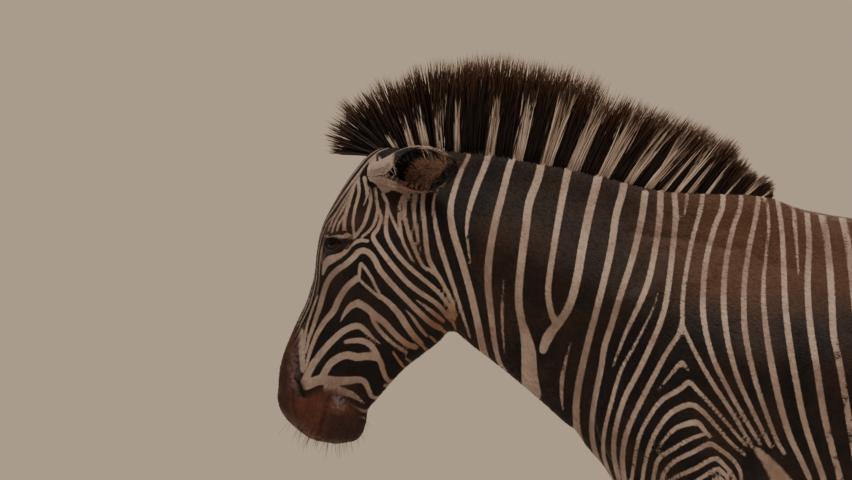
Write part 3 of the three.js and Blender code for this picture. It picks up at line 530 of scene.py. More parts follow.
GAZE = GAZE / np.linalg.norm(GAZE)
LID_LINE = LID_LINE - GAZE * (LID_LINE @ GAZE)
LID_LINE = LID_LINE / np.linalg.norm(LID_LINE)
LID_UP = np.cross(GAZE, LID_LINE)
LID_UP = LID_UP * np.sign(LID_UP[2])
LID_THICKNESS = 3.5
OPENING = (22.5, 11.0, 12.5)  # half length of the opening between the lids, its height up and down


def with_lids(points, f):
    """Adds the bulge of the lids over the eyeball."""
    q = mirrored_to_right(points) - EYE
    near = (np.abs(q) < 70).all(1)
    if near.any():
        lids = np.linalg.norm(q[near], axis=1) - (EYE_RADIUS + LID_THICKNESS)
        f = f.copy()
        f[near] = blend(f[near], lids, 12)
    return f


def eye_place(points):
    """Places on the eye: along the lids, up, outward, and how far outside the opening."""
    q = mirrored_to_right(points) - EYE
    a = q @ LID_LINE
    b = q @ LID_UP
    g = q @ GAZE
    half, up, down = OPENING
    t = np.clip(np.abs(a / half), 0, 1.4)
    upper = up * (1 - t ** 2.2) - 1.5 * (a / half)
    lower = -down * (1 - t ** 2.0) - 1.5 * (a / half)
    outside = np.maximum(b - upper, lower - b)
    by_the_eye = (g > 0) & (np.abs(a) < 50) & (np.abs(b) < 50)
    outside = np.where(by_the_eye, outside, 40.0)
    return a, b, g, outside


def open_the_lids(points):
    """Sinks the skin between the lids to behind the eyeball's surface."""
    a, b, g, outside = eye_place(points)
    q = mirrored_to_right(points) - EYE
    radius = np.linalg.norm(q, axis=1)
    near = (radius < 60) & (outside < 14) & (g > 0)
    corner = smooth(18.5, 22, np.abs(a))
    floor = (EYE_RADIUS - 3) * (1 - corner) + (EYE_RADIUS + 0.5) * corner
    inside = smooth(0.9, -1.1, outside)
    crease = 2.2 * np.exp(-((outside - 6.5) / 1.9) ** 2) * (b > 0) * smooth(24, 14, np.abs(a))
    crease += 1.2 * np.exp(-((outside - 7.5) / 2.2) ** 2) * (b < 0) * smooth(24, 14, np.abs(a))
    rim = 0.9 * np.exp(-((outside - 1.6) / 1.3) ** 2)
    new = radius + (np.minimum(floor, radius) - radius) * inside - crease + rim
    way = q / np.maximum(radius, 1e-6)[:, None]
    moved = EYE + way * new[:, None]
    moved[:, 1] *= np.where(points[:, 1] < 0, -1, 1)
    return np.where(near[:, None], moved, points)


# ---- the turn of the neck

TURN_STEP = 5
TURN_PLACES = TURN_FROM - TURN_STEP * np.arange(180)


def turn_at(x):
    """The neck's turn to its side at each place along it."""
    return NECK_TURN * smooth(0, 1, (TURN_FROM - x) / (TURN_FROM - TURN_TO))


NECK_DRIFT = np.concatenate([[0], np.cumsum(TURN_STEP * np.tan(turn_at(TURN_PLACES - TURN_STEP / 2)))])


def turned(points):
    """Bends the neck of the straight pose to its side, and centres the animal. Still in mm."""
    x, y, z = points.T
    turn = turn_at(x)
    steps = np.maximum((TURN_FROM - x) / TURN_STEP, 0)
    side = np.interp(steps, np.arange(len(NECK_DRIFT)), NECK_DRIFT)
    return np.stack([x + y * np.sin(turn) - CENTRE_X, side + y * np.cos(turn), z], 1)


# ---- the mesh of the skin


def surface_net(field, low, high, step, coarse=4):
    """A mesh of quads where the field is zero. Only cells near the surface are worked out."""
    low = np.array(low, float)
    counts = np.ceil((np.array(high) - low) / step).astype(int) + 1
    blocks = np.ceil(counts / coarse).astype(int) + 1
    grid = np.stack(np.meshgrid(*[np.arange(n) for n in blocks], indexing="ij"), -1).reshape(-1, 3)
    rough = field(low + grid * step * coarse).reshape(blocks)
    active = np.argwhere(np.abs(rough) < step * coarse * 3)
    f = np.repeat(np.repeat(np.repeat(rough, coarse, 0), coarse, 1), coarse, 2)
    around = np.arange(-coarse // 2, coarse // 2 + 1)
    around = np.stack(np.meshgrid(around, around, around, indexing="ij"), -1).reshape(-1, 3)
    cells = (active[:, None, :] * coarse + around).reshape(-1, 3)
    cells = np.clip(cells, 0, np.array(f.shape) - 1)
    keys = np.unique(np.ravel_multi_index(cells.T, f.shape))
    places = np.stack(np.unravel_index(keys, f.shape), 1)
    f[tuple(places.T)] = in_batches(field, low + places * step)
    inside = f < 0
    corners = np.array([(i, j, k) for i in (0, 1) for j in (0, 1) for k in (0, 1)])
    size = np.array(f.shape) - 1
    filled = sum(inside[i:size[0] + i, j:size[1] + j, k:size[2] + k].astype(np.int8)
                 for i, j, k in corners)
    cells = np.argwhere((filled > 0) & (filled < 8))
    number = -np.ones(filled.shape, int)
    number[tuple(cells.T)] = np.arange(len(cells))
    total = np.zeros((len(cells), 3))
    crossings = np.zeros(len(cells))
    for a in range(8):
        for b in range(a + 1, 8):
            if np.abs(corners[b] - corners[a]).sum() != 1:
                continue
            start = cells + corners[a]
            end = cells + corners[b]
            fa = f[tuple(start.T)]
            fb = f[tuple(end.T)]
            crossed = (fa < 0) != (fb < 0)
            t = (fa / (fa - fb + 1e-12))[crossed][:, None]
            total[crossed] += start[crossed] + t * (end[crossed] - start[crossed])
            crossings[crossed] += 1
    points = low + total / crossings[:, None] * step
    quads = []
    for axis in range(3):
        one = np.eye(3, dtype=int)
        s = [f.shape[k] - one[axis][k] for k in range(3)]
        here = inside[:s[0], :s[1], :s[2]]
        there = inside[one[axis][0]:, one[axis][1]:, one[axis][2]:]
        edges = np.argwhere(here != there)
        second = one[(axis + 1) % 3]
        third = one[(axis + 2) % 3]
        edges = edges[(edges[:, (axis + 1) % 3] > 0) & (edges[:, (axis + 2) % 3] > 0)]
        edges = edges[(edges < np.array(number.shape)).all(1)]
        quad = np.stack([number[tuple((edges - away).T)]
                         for away in (0 * second, second, second + third, third)], 1)
        outward = here[tuple(edges.T)]
        quad[~outward] = quad[~outward][:, ::-1]
        quads.append(quad[(quad >= 0).all(1)])
    return points, np.concatenate(quads)


def in_batches(field, points, size=150000):
    """The field's value at many points, a batch at a time."""
    parts = np.array_split(points, max(1, len(points) // size))
    return np.concatenate([field(part) for part in parts])


def slope_of(field, points, step=0.8):
    """The field's value and gradient at each point."""
    value = in_batches(field, points)
    slope = np.stack([(in_batches(field, points + step * way) - value) / step for way in np.eye(3)], 1)
    return value, slope


def onto_surface(field, points, rounds=3):
    """Moves points to where the field is zero."""
    for _ in range(rounds):
        value, slope = slope_of(field, points)
        steep = np.maximum(np.linalg.norm(slope, axis=1), 0.4)
        points = points - (np.clip(value / steep, -6, 6) / steep)[:, None] * slope
    return points


def split_faces(mesh, wanted):
    """Splits each wanted face in four. Its neighbours get a corner on the shared edge."""
    edges = {edge for face, keep in zip(mesh.faces, wanted) if keep for edge in face.edges}
    bmesh.ops.subdivide_edges(mesh, edges=list(edges), cuts=1, use_grid_fill=True)
    mesh.verts.ensure_lookup_table()
    mesh.faces.ensure_lookup_table()


def face_middles(mesh):
    """The middle of each face."""
    return np.array([face.calc_center_median() for face in mesh.faces])


def distance_to_line(points, start, end):
    """How far each point is from a straight line."""
    start = np.array(start, float)
    along = np.array(end, float) - start
    away = points - start
    t = np.clip(away @ along / (along @ along), 0, 1)
    return np.linalg.norm(away - t[:, None] * along, axis=1)


NET_STEP = 14.6                 # size of the skin's largest faces; they are halved where needed
POLL = ((-830, 1560), (-640, 1130))       # the head's finer mesh starts at this line (x, z)


def on_head_distance(points):
    """How far each point is on the head's side of that line, in mm."""
    (ax, az), (bx, bz) = POLL
    across = (points[:, 0] - ax) * (bz - az) - (points[:, 2] - az) * (bx - ax)
    return across / math.hypot(bx - ax, bz - az)


def on_head(points, margin=0):
    """Which points are on the head."""
    return on_head_distance(points) > margin


def skin_mesh():
    """The skin's points in the straight pose, and its triangles."""
    points, quads = surface_net(flesh, (-1085, -330, 55), (1235, 330, 1625), NET_STEP)
    mesh = bmesh.new()
    corners = [mesh.verts.new(point) for point in points]
    for quad in quads:
        mesh.faces.new([corners[k] for k in quad])
    mesh.faces.ensure_lookup_table()
    bmesh.ops.recalc_face_normals(mesh, faces=mesh.faces)
    middles = face_middles(mesh)
    neck = (middles[:, 0] < 105) & (middles[:, 2] > 850)
    legs = middles[:, 2] < 580
    tail = (middles[:, 0] > 1100) & (np.abs(middles[:, 1]) < 60)
    split_faces(mesh, neck | legs | tail)
    split_faces(mesh, on_head(face_middles(mesh)))
    middles = face_middles(mesh)
    mirrored = mirrored_to_right(middles)
    fine = np.linalg.norm(mirrored - (EYE + 16 * GAZE), axis=1) < 33
    fine |= np.linalg.norm(mirrored - (-1016, 46, 998), axis=1) < 26
    split_faces(mesh, fine)
    bmesh.ops.triangulate(mesh, faces=[face for face in mesh.faces if len(face.verts) > 4])
    bmesh.ops.triangulate(mesh, faces=mesh.faces, quad_method="SHORT_EDGE")
    mesh.verts.ensure_lookup_table()
    mesh.verts.index_update()
    points = np.array([v.co[:] for v in mesh.verts])
    triangles = np.array([[v.index for v in face.verts] for face in mesh.faces])
    mesh.free()
    points = onto_surface(flesh, points)
    return points, triangles


def normals_of(points, triangles):
    """The mesh's normal at each point."""
    a, b, c = (points[triangles[:, k]] for k in range(3))
    face = np.cross(b - a, c - a)
    out = np.zeros_like(points)
    for k in range(3):
        np.add.at(out, triangles[:, k], face)
    return out / np.maximum(np.linalg.norm(out, axis=1), 1e-12)[:, None]


# ---- the drawing of the markings


def side_view(points):
    """Where each point of the straight pose, or its twin on the left side, is in the drawing."""
    left = points.copy()
    left[:, 1] = -np.abs(left[:, 1])
    x, y, z = turned(left).T
    size = VIEW_FROM / (VIEW_FROM + y) / VIEW_UNIT
    u = VIEW_MIDDLE[0] + (x - VIEW_AT[0]) * size
    v = VIEW_MIDDLE[1] - (z - VIEW_AT[1]) * size
    return np.stack([u, v], 1)


def distance_to_stroke(places, row, reach=10.0):
    """How far each place is outside a drawn stroke, in the drawing's units, up to `reach`."""
    start, middle, end = row[:3]
    line = curve_through(row[3:])
    widths = np.interp(np.linspace(0, 1, len(line)), [0, 0.5, 1], [start, middle, end])
    out = np.full(len(places), reach)
    room = widths.max() + reach
    near = ((places > line.min(0) - room) & (places < line.max(0) + room)).all(1)
    if not near.any():
        return out
    p = places[near]
    best = np.full(len(p), reach)
    for a, b, wa, wb in zip(line[:-1], line[1:], widths[:-1], widths[1:]):
        along = b - a
        t = np.clip((p - a) @ along / max(along @ along, 1e-9), 0, 1)
        away = np.linalg.norm(p - a - t[:, None] * along, axis=1)
        best = np.minimum(best, away - (wa + (wb - wa) * t))
    out[near] = best
    return out


def distance_to_strokes(places, rows, reach=10.0):
    """The same for the nearest of many strokes."""
    out = np.full(len(places), reach)
    for row in rows:
        out = np.minimum(out, distance_to_stroke(places, row, reach))
    return out

# ---- markings of the whole body

# Painted shade inside the nostril, where it is drawn near black.
NOSTRIL_SHADE = ((2.0, 3.4, 2.6, (296, 379), (299, 384), (301, 390), (302, 396)),)
MOUTH_AND_FOLD_SHADE = (                # painted shade along the line of the mouth and in the nostril's fold
    (1, 1.5, 0.9, (329, 398), (326, 408), (322, 422), (319, 436), (318, 446)),
    (0.5, 0.8, 0.6, (292.5, 389), (294, 405), (297, 420), (302, 434)),
)
SHOULDER_CREASE_SHADE = (            # painted shade in the shoulder's creases
    (0.5, 0.9, 0.5, (632, 232), (655, 236), (690, 239), (715, 245), (735, 249)),
    (0.5, 1, 0.5, (752, 251), (765, 262), (780, 266), (800, 268)),
    (0.5, 1.6, 0.5, (765, 238), (770, 248), (768, 256)),
)
ARMPIT = ((2.0, 6.0, 12.0, (756, 449), (767, 461), (779, 478), (792, 500)),)   # thin pale hair
MUZZLE_MARKS = (              # brown hair of the nose, the upper and the lower lip
    (9, 9, 9, (287, 330), (287, 360), (287, 405)),
    (24, 25, 26, (300, 418), (306, 424), (312, 428)),
    (26, 24, 14, (325, 417), (338, 424), (352, 432)),
)
# The fine lines of the nose end here: v, then u.
FINE_LINES_EDGE = ((148, 374), (160, 361), (176, 350), (200, 341), (222, 334), (236, 323), (256, 323),
                   (270, 320), (290, 317), (305, 311), (320, 304), (335, 299), (350, 297), (365, 296))

BODY_PITCH = 44               # from one pale stripe to the next on the barrel, in mm
TAIL_ROOT = (1150, 1262)      # the rump's stripes run round this point (x, z)
PALE_SHARE = 0.36             # of the pitch


def rings(points):
    """The barrel's, rump's and legs' stripes: a phase that is whole on each pale one, and its pitch."""
    x, y, z = points.T
    leaning = x - (150 + 0.145 * (1392 - z))
    hind = np.where(z < 900, 900 + (z - 900) * 1.75, z)
    around = np.hypot(x - TAIL_ROOT[0], hind - TAIL_ROOT[1])
    over = smooth(230, 700, x + 0.2 * (z - 1100))
    phase = ((1 - over) * leaning + over * (985 - around)) / BODY_PITCH
    pitch = np.full(len(points), float(BODY_PITCH))
    low = smooth(900, 640, z) * (x > 500)
    pitch = pitch * (1 - low) + 26 * low
    side = np.where(y < 0, 0, 1)
    shift = np.where(side == 0, STANCE["fore"][0], STANCE["fore"][1])
    fore = (z < 860) & (np.abs(y) > 12) & (x < 40 + shift)
    slant = 1.1 * smooth(660, 845, z)
    ring = (z + slant * (np.abs(x + 115 - shift) - 40)) / 23.0
    phase = np.where(fore, ring, phase)
    pitch = np.where(fore, 23.0, pitch)
    return phase, pitch


def markings(points):
    """Everything that the coat's colour needs at points of the straight pose."""
    x, y, z = points.T
    places = side_view(points)
    u, v = places.T
    marks = {}
    drawn = distance_to_strokes(places, TRUNK_STRIPES + NECK_STRIPES + HEAD_STRIPES)
    drawn = np.maximum(drawn, -distance_to_strokes(places, DARK_MARKS)) * VIEW_UNIT
    wander = 0.8 * np.sin(x * 0.031 + 1.3) * np.cos(z * 0.027) * (y > 0)
    phase, pitch = rings(points)
    phase = phase + 0.05 * np.sin(z * 0.012 + x * 0.004) + 0.10 * (y > 0) * np.sin(z * 0.009 + 0.8)
    banded = np.abs((phase + 0.5) % 1 - 0.5) * pitch - pitch * PALE_SHARE / 2
    drawn_until = smooth(150, 185, x + 0.145 * (z - 1392))
    on_foreleg = smooth(850, 825, z) * (x < 120)
    weight = np.maximum(drawn_until, on_foreleg)
    marks["stripe"] = (drawn + wander) * (1 - weight)
    marks["phase"] = phase
    marks["pitch"] = pitch
    marks["banded"] = weight
    marks["exact"] = (drawn + wander) * (1 - weight) + banded * weight

    # the forehead and the nose: fine lines along the face
    edge = np.array(FINE_LINES_EDGE, float)
    boundary = np.interp(v, edge[:, 0], edge[:, 1])
    face = on_head(points, -20)
    along, turn = FACE.round_about(points)
    beside_profile = np.where(v < 236, smooth(0.60, 0.48, np.abs(turn)), smooth(4, -3, u - boundary))
    marks["fine"] = beside_profile * smooth(372, 352, v) * smooth(128, 140, v) * face
    count = np.interp(along, (0.0, 0.2, 0.36, 0.6, 1), (15, 17, 30, 34, 30))
    marks["lines"] = np.abs(turn) / math.pi * count + 0.3 * np.sin(z * 0.02)

    muzzle = distance_to_strokes(places, MUZZLE_MARKS, 14)
    marks["muzzle"] = smooth(5, -4, muzzle) * face
    dusk = smooth(316, 332, u) * smooth(404, 420, v) + smooth(297, 286, u) * 0.9
    marks["dusk"] = np.clip(dusk, 0, 1)
    marks["grey"] = (smooth(12, 0, np.abs(u - 296)) * smooth(340, 356, v) * smooth(400, 380, v) * 0.45
                     + smooth(12, 2, np.hypot(u - 339, (v - 401) * 0.8)) * 0.8) * face
    jaw = distance_to_line(np.stack([u, v, 0 * u], 1), (398, 366, 0), (456, 322, 0))
    armpit = smooth(5, -5, distance_to_strokes(places, ARMPIT, 12)) * ~face
    marks["tan"] = np.clip(smooth(34, 4, jaw) * 0.75 * face + 0.2 * armpit, 0, 1)
    # Painted sunlight: the dark stripes are drawn browner high up, mostly from the withers back and a
    # little less towards the rump, where the sun falls on the top.
    sunlit_top = smooth(1140, 1290, z) * (0.10 + 0.90 * smooth(-330, -60, x)) * smooth(-620, -480, x)
    marks["brown"] = sunlit_top * (1 - 0.35 * smooth(300, 700, x))
    underneath = np.abs(TRUNK.round_about(points)[1]) / math.pi
    belly = smooth(0.86, 0.96, underneath) * smooth(-140, 30, x)
    belly = belly * smooth(40, 12, TRUNK.distance(points))
    spine = smooth(19, 15, np.abs(y)) * smooth(30, 60, x) * (z > 1240)
    marks["spine"] = spine
    halo = smooth(34, 26, np.abs(y)) * smooth(740, 860, x) * (z > 1200)
    white = np.maximum(0.96 * belly, 0.92 * halo * (1 - spine))
    marks["belly"] = np.clip(np.maximum(white, armpit), 0, 1)
    a, b, g, outside = eye_place(points)
    rim = smooth(5.5, 3.0, outside)
    front = smooth(-15, -20, a) * smooth(9, 4, np.abs(b)) * (g > 0) * smooth(34, 28, np.abs(a))
    behind = smooth(15, 20, a) * smooth(8, 3, np.abs(b - 1)) * (g > 0) * smooth(32, 27, a)
    marks["rim"] = np.clip(np.maximum(rim, np.maximum(front, behind)), 0, 1)
    marks["lower"] = (b < -3) * smooth(3.4, 1.6, outside) * smooth(-22, -14, a)
    marks["bare"] = smooth(0.3, -0.6, outside)
    # Painted shade: the nostril, the line of the mouth, the nostril's fold and the creases of the left
    # shoulder are painted near black for the shade in them.
    nostril = smooth(1.0, -1.5, distance_to_strokes(places, NOSTRIL_SHADE, 6)) * face * (np.abs(y) > 22)
    lines = 0.75 * smooth(0.7, -0.7, distance_to_strokes(places, MOUTH_AND_FOLD_SHADE, 4)) * face * (np.abs(y) > 8)
    painted_crease_shade = 0.6 * smooth(0.5, -0.6, distance_to_strokes(places, SHOULDER_CREASE_SHADE, 4)) * (y < 0) * ~face
    marks["shadowed"] = np.maximum(nostril, np.maximum(lines, painted_crease_shade))
    return marks


NUMBERS_ON_BOTH = ("brown", "fine", "lines", "muzzle", "dusk", "grey", "tan", "belly", "spine", "rim",
                   "lower", "bare", "shadowed")
NUMBERS_ON_SKIN = ("stripe", "phase", "pitch", "banded", *NUMBERS_ON_BOTH)
NUMBERS_ON_TUFTS = ("exact", *NUMBERS_ON_BOTH)


def creased(points, triangles):
    """Pulls the skin in along the drawn creases."""
    normals = normals_of(points, triangles)
    places = side_view(points)
    depth = np.zeros(len(points))
    for width, sink, *line in CREASES:
        away = distance_to_stroke(places, (0, 0, 0, *line), 3 * width) * VIEW_UNIT
        depth += sink * np.exp(-(away / width) ** 2)
    inward = (np.abs(points[:, 1]) > 14) * smooth(6, 20, np.abs(points[:, 1]))
    return points - normals * (depth * inward)[:, None]


# ---- making objects


def new_object(name, data):
    """Adds an object to the scene."""
    item = bpy.data.objects.new(name, data)
    bpy.context.scene.collection.objects.link(item)
    return item


def new_piece(name, points, faces, kind, nodes):
    """A finished piece from points of the straight pose, in place of those CAD nodes."""
    mesh = bpy.data.meshes.new(name)
    fill_mesh(mesh, to_metres(points), faces)
    mesh.materials.append(material_named(kind))
    mesh.shade_smooth()
    piece = new_object(name, mesh)
    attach(piece, "root")
    if nodes:
        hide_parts(*nodes)
    return piece


def fill_mesh(mesh, points, faces):
    """Fills a mesh fast from an array of points and an array of triangles or of quads."""
    points = np.asarray(points, dtype=np.float32)
    faces = np.asarray(faces, dtype=np.int32)
    sides = faces.shape[1]
    mesh.vertices.add(len(points))
    mesh.vertices.foreach_set("co", points.ravel())
    mesh.loops.add(faces.size)
    mesh.loops.foreach_set("vertex_index", faces.ravel())
    mesh.polygons.add(len(faces))
    mesh.polygons.foreach_set("loop_start", np.arange(0, faces.size, sides, dtype=np.int32))
    mesh.update(calc_edges=True)


def add_numbers(mesh, name, values):
    """Stores a number for each point, for the material to read."""
    attribute = mesh.attributes.new(name, "FLOAT", "POINT")
    attribute.data.foreach_set("value", np.asarray(values, dtype=np.float32))


def add_hair_numbers(mesh, band, shade, along):
    """Stores how pale, how brown and how far along its lock each point of hair is."""
    for name, values in (("band", band), ("shade", shade), ("along_hair", along)):
        add_numbers(mesh, name, values)


def add_ear_numbers(mesh, pale, fluffy):
    """Stores how pale and how brown each point of an ear is."""
    add_numbers(mesh, "pale", pale)
    add_numbers(mesh, "fluffy", fluffy)


def to_metres(points):
    """The model's pose, in metres, of points in the straight pose."""
    return turned(points) * MM

# ---- materials

ATTRIBUTE = "ShaderNodeAttribute"
COORDINATES = "ShaderNodeTexCoord"
NOISE = "ShaderNodeTexNoise"
MATH = "ShaderNodeMath"
RANGE = "ShaderNodeMapRange"
MIX = "ShaderNodeMix"
BUMP = "ShaderNodeBump"
COMBINE = "ShaderNodeCombineXYZ"
VECTORS = "ShaderNodeVectorMath"
MAPPING = "ShaderNodeMapping"
ADD = {"operation": "ADD"}
SUBTRACT = {"operation": "SUBTRACT"}
TIMES = {"operation": "MULTIPLY"}
TIMES_AND_ADD = {"operation": "MULTIPLY_ADD"}
FRACTION = {"operation": "FRACT"}
ABSOLUTE = {"operation": "ABSOLUTE"}
LARGER = {"operation": "MAXIMUM"}
SOFT = {"interpolation_type": "SMOOTHSTEP"}
NUMBERS = {"data_type": "FLOAT"}
COLOURS = {"data_type": "RGBA"}

# Sizes of the patterns, in mm, from one grain to the next.
EDGE_GRAIN = 4.2              # hairs at the edge of a stripe
HAIR_GRAIN = 2.4              # groups of hairs; single hairs are drawn coarser, as they are 0.1 mm wide
HAIR_ROW = 3.0                # the relief of the lying hair, along it; also coarser than a hair
DUST_PATCH = 110.0            # patches of dust, which dull the pale hair and brown the dark
MUZZLE_PATCH = 45.0           # patches of darker hair on the muzzle
MOTTLE = 8.0                  # spots of bare grey skin
EAR_GRAIN = 3.3               # groups of soft hairs in the ear
IRIS_GRAIN = 2.0              # threads of the iris
HORN_GRAIN = 3.8              # upright grain of the horn
HORN_RING = 6.2               # growth rings of the horn


def linear(hex_colour):
    """An sRGB hex colour as linear red, green, blue and alpha."""
    out = []
    for k in (1, 3, 5):
        c = int(hex_colour[k:k + 2], 16) / 255
        out.append(c / 12.92 if c <= 0.04045 else ((c + 0.055) / 1.055) ** 2.4)
    return (*out, 1.0)


def finish(node, **inputs):
    """Links or sets a node's inputs, each called by its name or as i0, i1 and so on."""
    for name, value in inputs.items():
        key = int(name[1:]) if name[0] == "i" and name[1:].isdigit() else name.replace("_", " ")
        if isinstance(value, bpy.types.NodeSocket):
            node.id_data.links.new(value, node.inputs[key])
        else:
            node.inputs[key].default_value = value


def add_node(tree, kind, output, settings=None, **inputs):
    """Adds a node with its settings and inputs, and gives one of its outputs."""
    node = tree.nodes.new(kind)
    for name, value in (settings or {}).items():
        setattr(node, name, value)
    finish(node, **inputs)
    return node.outputs[output]


def new_material(name, numbers):
    """A material, what adds nodes to it, its shader, and the mesh's numbers that it reads."""
    material = bpy.data.materials.new(name)
    material.use_nodes = True
    add = functools.partial(add_node, material.node_tree)
    marks = {number: add(ATTRIBUTE, "Fac", {"attribute_name": number}) for number in numbers}
    return material, add, material.node_tree.nodes["Principled BSDF"], marks


COAT_LAYERS = (("rim", "lid"), ("lower", "lower_lid"), ("bare", "wet_corner"), ("shadowed", "inside"))


def coat_material(name, numbers, colours):
    """Short summer coat, drawn as hair colour with a fine grain.

    The eye sees crisp stripes with a slightly hairy edge, dust in patches, dark hair browned by painted
    sunlight on the top of the neck and back, painted shade in the nostrils and creases, and a dull surface
    with a weak sheen. Skin and tufts share these markings.
    """
    material, add, surface, marks = new_material(name, numbers)
    place = add(COORDINATES, "Object")
    edge, dust, grain, patch, spots = (
        add(NOISE, "Fac", Vector=place, Scale=1000 / size, Detail=detail) for size, detail in (
            (EDGE_GRAIN, 3.0), (DUST_PATCH, 3.0), (HAIR_GRAIN, 2.0), (MUZZLE_PATCH, 3.0),
             (MOTTLE, 3.0)))
    edge = add(MATH, 0, TIMES_AND_ADD, i0=edge, i1=2.6, i2=-1.3)
    if "exact" in marks:
        away = marks["exact"]
    else:
        band = marks["phase"]
        for step, number in ((ADD, 0.5), (FRACTION, 0.0), (SUBTRACT, 0.5), (ABSOLUTE, 0.0),
                             (SUBTRACT, PALE_SHARE / 2), (TIMES, marks["pitch"]),
                              (TIMES, marks["banded"])):
            band = add(MATH, 0, step, i0=band, i1=number)
        away = add(MATH, 0, ADD, i0=marks["stripe"], i1=band)
    away = add(MATH, 0, ADD, i0=away, i1=edge)
    pale = add(RANGE, 0, SOFT, Value=away, From_Min=1.2, From_Max=-1.2)
    lines = add(MATH, 0, TIMES, i0=marks["lines"], i1=2 * math.pi)
    lines = add(MATH, 0, {"operation": "SINE"}, i0=lines)
    lines = add(RANGE, 0, SOFT, Value=lines, From_Min=0.0, From_Max=0.6, To_Max=0.9)
    pale = add(MIX, 0, NUMBERS, i0=marks["fine"], i2=pale, i3=lines)
    belly = add(MATH, 0, TIMES_AND_ADD, i0=edge, i1=0.12, i2=marks["belly"])
    belly = add(RANGE, 0, SOFT, Value=belly, From_Min=0.30, From_Max=0.62)
    pale = add(MATH, 0, LARGER, i0=pale, i1=belly)
    dark = add(MATH, 0, LARGER, i0=marks["spine"], i1=marks["muzzle"])
    not_dark = add(MATH, 0, SUBTRACT, i0=1.0, i1=dark)
    pale = add(MATH, 0, TIMES, i0=pale, i1=not_dark)

    dusty = add(RANGE, 0, SOFT, Value=dust, From_Min=0.40, From_Max=0.66)
    # The dark hair is browned in random dust patches and, as painted sunlight, on the top of the neck and
    # back.
    lit_and_dusted = add(MATH, 0, TIMES_AND_ADD, i0=dusty, i1=0.22, i2=marks["brown"])
    dark_coat = add(MIX, 2, COLOURS, i0=lit_and_dusted, i6=colours.dark, i7=colours.dark_sunlit_and_dusty)
    pale_coat = add(MIX, 2, COLOURS, i0=dusty, i6=colours.pale, i7=colours.pale_dusty)
    pale_coat = add(MIX, 2, COLOURS, i0=marks["tan"], i6=pale_coat, i7=colours.tan)
    colour = add(MIX, 2, COLOURS, i0=pale, i6=dark_coat, i7=pale_coat)
    patch = add(RANGE, 0, SOFT, Value=patch, From_Min=0.40, From_Max=0.75, To_Max=0.5)
    patch = add(MATH, 0, LARGER, i0=patch, i1=marks["dusk"])
    nose = add(MIX, 2, COLOURS, i0=patch, i6=colours.muzzle, i7=colours.muzzle_dark)
    colour = add(MIX, 2, COLOURS, i0=marks["muzzle"], i6=colour, i7=nose)
    spots = add(RANGE, 0, SOFT, Value=spots, From_Min=0.30, From_Max=0.70)
    spots = add(MATH, 0, TIMES, i0=spots, i1=marks["grey"])
    colour = add(MIX, 2, COLOURS, i0=spots, i6=colour, i7=colours.grey_skin)
    for mark, setting in COAT_LAYERS:
        colour = add(MIX, 2, COLOURS, i0=marks[mark], i6=colour, i7=getattr(colours, setting))
    light = add(MATH, 0, TIMES_AND_ADD, i0=grain, i1=0.56, i2=0.72)
    colour = add("ShaderNodeHueSaturation", 0, Color=colour, Value=light)
    finish(surface, Base_Color=colour, Roughness=0.62, Specular_IOR_Level=0.28, Sheen_Weight=0.10,
           Sheen_Roughness=0.5)
    if "exact" not in marks:
        lying = add(MAPPING, 0, Vector=place, Scale=(0.35, 1.0, 1.0))
        hairs = add(NOISE, "Fac", Vector=lying, Scale=1000 / HAIR_ROW, Detail=2.0)
        relief = add(BUMP, 0, Height=hairs, Strength=0.35, Distance=0.0015)
        finish(surface, Normal=relief)
    return material

def eye_material(colours):
    """Wet cornea over a dark brown iris: one sharp highlight over near black, with a level pupil."""
    material, add, surface, marks = new_material("wet cornea over a dark iris", ("along_lids", "up_lids"))
    wide = add(MATH, 0, TIMES, i0=marks["along_lids"], i1=5.0 / 9.0)
    pupil = add(COMBINE, 0, X=wide, Y=marks["up_lids"])
    pupil = add(VECTORS, "Value", {"operation": "LENGTH"}, i0=pupil)
    pupil = add(RANGE, 0, SOFT, Value=pupil, From_Min=5.4, From_Max=4.6)
    white = add(COMBINE, 0, X=marks["along_lids"], Y=marks["up_lids"])
    white = add(VECTORS, "Value", {"operation": "LENGTH"}, i0=white)
    white = add(RANGE, 0, SOFT, Value=white, From_Min=16.0, From_Max=18.5)
    place = add(COORDINATES, "Object")
    threads = add(NOISE, "Fac", Vector=place, Scale=1000 / IRIS_GRAIN, Detail=3.0)
    colour = add(MIX, 2, COLOURS, i0=threads, i6=colours.iris_dark, i7=colours.iris)
    colour = add(MIX, 2, COLOURS, i0=pupil, i6=colour, i7=colours.pupil)
    colour = add(MIX, 2, COLOURS, i0=white, i6=colour, i7=colours.eye_edge)
    finish(surface, Base_Color=colour, Roughness=0.2, IOR=1.38, Specular_IOR_Level=0.3,
           Coat_Weight=0.15, Coat_Roughness=0.05)
    return material


def mane_material(colours):
    """Coarse upright hair: dull, a little glossy along the strand, browner towards the tips, partly their
    own brown and partly painted backlight shining through them.
    """
    material, add, surface, marks = new_material("coarse upright hair", ("band", "shade", "along_hair"))
    pale = add(RANGE, 0, SOFT, Value=marks["band"], From_Min=0.30, From_Max=0.70)
    # The browner tips are partly the hair's own colour and partly painted backlight through the thin ends.
    tip = add(MATH, 0, TIMES_AND_ADD, i0=marks["shade"], i1=0.4, i2=marks["along_hair"])
    tip = add(RANGE, 0, SOFT, Value=tip, From_Min=0.72, From_Max=1.2, To_Max=0.85)
    shade = marks["shade"]
    dark = add(MIX, 2, COLOURS, i0=shade, i6=colours.hair_dark, i7=colours.hair_brown)
    light = add(MIX, 2, COLOURS, i0=shade, i6=colours.hair_pale, i7=colours.hair_dusty)
    colour = add(MIX, 2, COLOURS, i0=pale, i6=dark, i7=light)
    colour = add(MIX, 2, COLOURS, i0=tip, i6=colour, i7=colours.hair_tip)
    finish(surface, Base_Color=colour, Roughness=0.55, Specular_IOR_Level=0.3)
    return material


